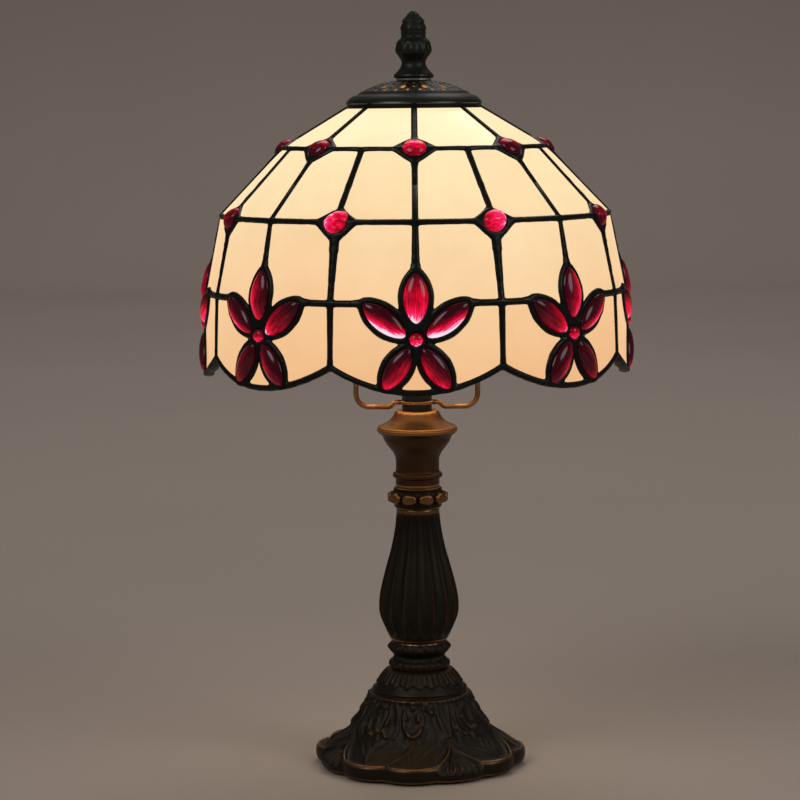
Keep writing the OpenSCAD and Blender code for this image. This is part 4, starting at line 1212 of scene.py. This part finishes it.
piece("copper_harp_wire", harp_wire(), copper, "stand", ["harp_wire"])
piece(
    "copper_harp_ring", harp_ring(), copper, "stand", ["harp_ring"], sharp=50
)


# ---------------------------------------------------------------- cap and finial


cap_low, cap_top = span("vented_cap")
# Rows of vents: count, radius, half width, half length, start.
VENTS = [
    (24, 13.0, 0.85, 0.85, 0.0), (12, 18.4, 1.25, 1.95, 0.5),
    (24, 18.2, 0.6, 1.0, 0.0), (24, 21.9, 0.8, 0.8, 0.5),
]


def vent_cutters():
    bm = bmesh.new()
    for count, r, wide, long, offset in VENTS:
        for i in range(count):
            a = (i + offset) * TAU / count
            bmesh.ops.create_cone(
                bm, cap_ends=True, segments=14, radius1=1, radius2=1, depth=14,
                matrix=Matrix.Rotation(a, 4, "Z") @ Matrix.Translation((0, -r, cap_top - 3))
                @ Matrix.Rotation(math.radians(22), 4, "X") @ Matrix.Diagonal((wide, long, 1, 1)),
            )
    return bm




def vented_cap():
    """Spun cap with rows of vents, raised tracery round them, and a plain bright rim."""
    def hung(keys):
        return [(r, cap_top - drop) for r, drop in keys]

    dome = [(7.6, 0), (9.2, 0.5), (13.0, 1.2), (18.5, 3.0), (23.5, 5.2), (26.4, 6.6)]
    rim = [(27.2, 6.7), (28.6, 7.5), (29.8, 8.5), (30.6, 9.4)]
    under = [(29.2, 9.3), (26.6, 7.9), (23.5, 6.2), (18.5, 4.0), (13.0, 2.2), (9.2, 1.5), (3.4, 0.95)]
    outer = [(3.4, cap_top)] + flowing(hung(dome), 0.6)
    outer += flowing(hung(rim) + [(31, cap_low + 0.3), (30.8, cap_low)], 0.5)
    bm = turned(outer + [(29.6, cap_low)] + hung(under), 288, closed=True)
    angle, radius, level = round_places(bm)
    # Tracery: raised rings, and a wave of stems that winds between the vents.
    outside = on_outline(radius, level, outer)
    lift = 0.45 * ridge(radius - 15.7 - 1.1 * np.sin(angle * 12), 0.6)
    lift = lift + 0.4 * ridge(radius - 10.4, 0.5) + 0.55 * ridge(radius - 24.2, 0.7)
    for count, r, wide, long, offset in VENTS:
        a = fold(angle - offset * TAU / count, TAU / count) * r
        d = np.hypot(a / (wide + 0.45), (radius - r) / (long + 0.45))
        lift = np.maximum(lift, 0.4 * ridge(d - 1, 0.3))
    level = level + np.where(outside & (radius < 26.3) & (radius > 8.6), lift, 0)
    move_to(bm, from_polar(angle, radius, level))
    cutter_mesh = blank_mesh(vent_cutters())
    cutter = in_scene("blank_vents", cutter_mesh)
    bm = through_modifier(bm, "BOOLEAN", operation="DIFFERENCE", object=cutter, solver="EXACT")
    bpy.data.objects.remove(cutter)
    bpy.data.meshes.remove(cutter_mesh)
    # The bulb lights the inside and the walls of the vents.
    _, radius, level = round_places(bm)
    deep = np.interp(radius, *zip(*outer)) - level
    mark(bm, "lit", smoothstep(0.2, 0.9, deep) * smoothstep(26.4, 25.4, radius))
    return bm


def finial_casting():
    """Bud of leaf scales over a gadrooned bulb, a smooth waist and a flared foot."""
    low, high = span("finial_casting")
    hollow, deep = 4.25, 11.5
    keys = [(9.1, 0.4), (9.0, 1.4), (7.6, 3.0), (6.0, 5.0), (5.5, 7.0), (6.3, 9.0), (7.9, 11.3),
            (8.2, 13.0), (7.4, 15.6), (6.0, 17.6), (5.3, 18.9), (5.7, 20.4), (5.9, 22.4),
            (5.2, 24.8), (3.8, 27.3), (2.1, 29.2), (0.9, high - low - 0.3), (0, high - low)]
    outline = [(0, low + deep), (hollow, low + deep), (hollow, low), (8.6, low)]
    bm = turned(outline + flowing([(r, low + z) for r, z in keys], 0.35), 192)
    angle, radius, z = round_places(bm)
    level = z - low
    outside = (radius > hollow + 0.3) | (level > 12)
    gadroon = ridge(level - 12.8, 3.2) * (0.75 * np.abs(np.cos(angle * 5)) ** 0.7 - 0.4)
    knobs = ridge(level - 16.4, 1.5) * 0.6 * np.abs(np.sin(angle * 5))
    # Rows of scales, each turned half a scale against the one below.
    row, within = np.divmod((level - 18.4) / 3.4, 1)
    tooth = np.abs(fold(angle * 8 / TAU + np.where(row % 2 == 0, 0.0, 0.5), 1.0)) * 2
    scales = 0.75 * (1 - within) * (1 - tooth * 0.6) - 0.3
    scales = scales * smoothstep(18.2, 19.4, level) * smoothstep(30.2, 27, level)
    out = np.where(outside & (level <= 29.5), gadroon + knobs + scales, 0)
    out = np.maximum(radius + out * np.minimum(radius / 3, 1), 0)
    move_to(bm, from_polar(angle, out, z))
    mark(bm, "rub", np.full(len(level), 0.12))
    return bm


piece(
    "spun_vented_cap", vented_cap(), cap_patina_painted_glow, "shade", ["vented_cap"],
    worn=0.8, sharp=40,
)
piece(
    "cast_finial", finial_casting(), dark_patina, "finial", ["finial_casting"],
    worn=1.4,
)


# ---------------------------------------------------------------- stage, light, camera


def stage_finish():
    material, tree, bsdf = shader("stage_paper")
    cloud = grain(tree, 3.0, 2.0)
    fill(bsdf, {
        "Base Color": ramp(tree, cloud, [(0.3, (0.45, 0.385, 0.345)), (0.7, (0.47, 0.40, 0.36))]),
        "Roughness": 0.9,
    })
    return material


def sweep():
    """Floor that curves up into a plain backdrop."""
    bm = bmesh.new()
    start = [bm.verts.new((x, -6, 0)) for x in (-6, 6)]
    floor = bmesh.ops.extrude_edge_only(bm, edges=[bm.edges.new(start)])["geom"]
    bmesh.ops.translate(bm, vec=(0, 9.1, 0), verts=verts_in(floor))
    last = bmesh.ops.spin(
        bm, geom=verts_in(floor) + edges_in(floor), cent=(0, 3.1, 0.5), axis=(1, 0, 0),
        angle=math.pi / 2, steps=24,
    )["geom_last"]
    wall = bmesh.ops.extrude_edge_only(bm, edges=edges_in(last))["geom"]
    bmesh.ops.translate(bm, vec=(0, 0, 4), verts=verts_in(wall))
    bmesh.ops.recalc_face_normals(bm, faces=bm.faces)
    mesh = bpy.data.meshes.new("stage_sweep")
    bm.to_mesh(mesh)
    bm.free()
    mesh.shade_smooth()
    mesh.materials.append(stage_finish())
    in_scene("stage_sweep", mesh)


def area_light(name, where, target, size, watts, colour):
    light = bpy.data.lights.new(name, "AREA")
    light.shape = "DISK"
    light.size = size
    light.energy = watts
    light.color = colour
    made = in_scene(name, light)
    made.location = where
    made.rotation_euler = (Vector(target) - Vector(where)).to_track_quat("-Z", "Y").to_euler()


sweep()
area_light("soft_left", (-1.1, -1.2, 1.5), (0, 0, 0.15), 1.1, 9, (1.0, 0.96, 0.92))
area_light("soft_right", (1.3, -0.9, 1.1), (0, 0, 0.15), 1.0, 6, (1.0, 0.97, 0.95))
area_light("soft_back", (0.2, 1.0, 1.6), (0, 0, 0.2), 1.0, 3.5, (1.0, 0.95, 0.9))
area_light("soft_far", (0, 2.3, 2.6), (0, 3.3, 0.2), 2.4, 16, (1.0, 0.96, 0.93))

world = bpy.data.worlds.new("studio")
world.use_nodes = True
fill(world.node_tree.nodes["Background"], {"Color": (0.9, 0.88, 0.86, 1), "Strength": 0.10})
bpy.context.scene.world = world
bpy.context.scene.view_settings.view_transform = "Standard"

lens = bpy.data.cameras.new("camera")
lens.lens = 117.8
lens.sensor_width = 36
camera = in_scene("camera", lens)
camera.matrix_world = (
    Matrix.Translation((0, -1.198, 0.305))
    @ Matrix.Rotation(math.radians(0.372), 4, "Z")
    @ Matrix.Rotation(math.radians(90 - 6.43), 4, "X")
    @ Matrix.Rotation(math.radians(-0.6), 4, "Z")
)
bpy.context.scene.camera = camera
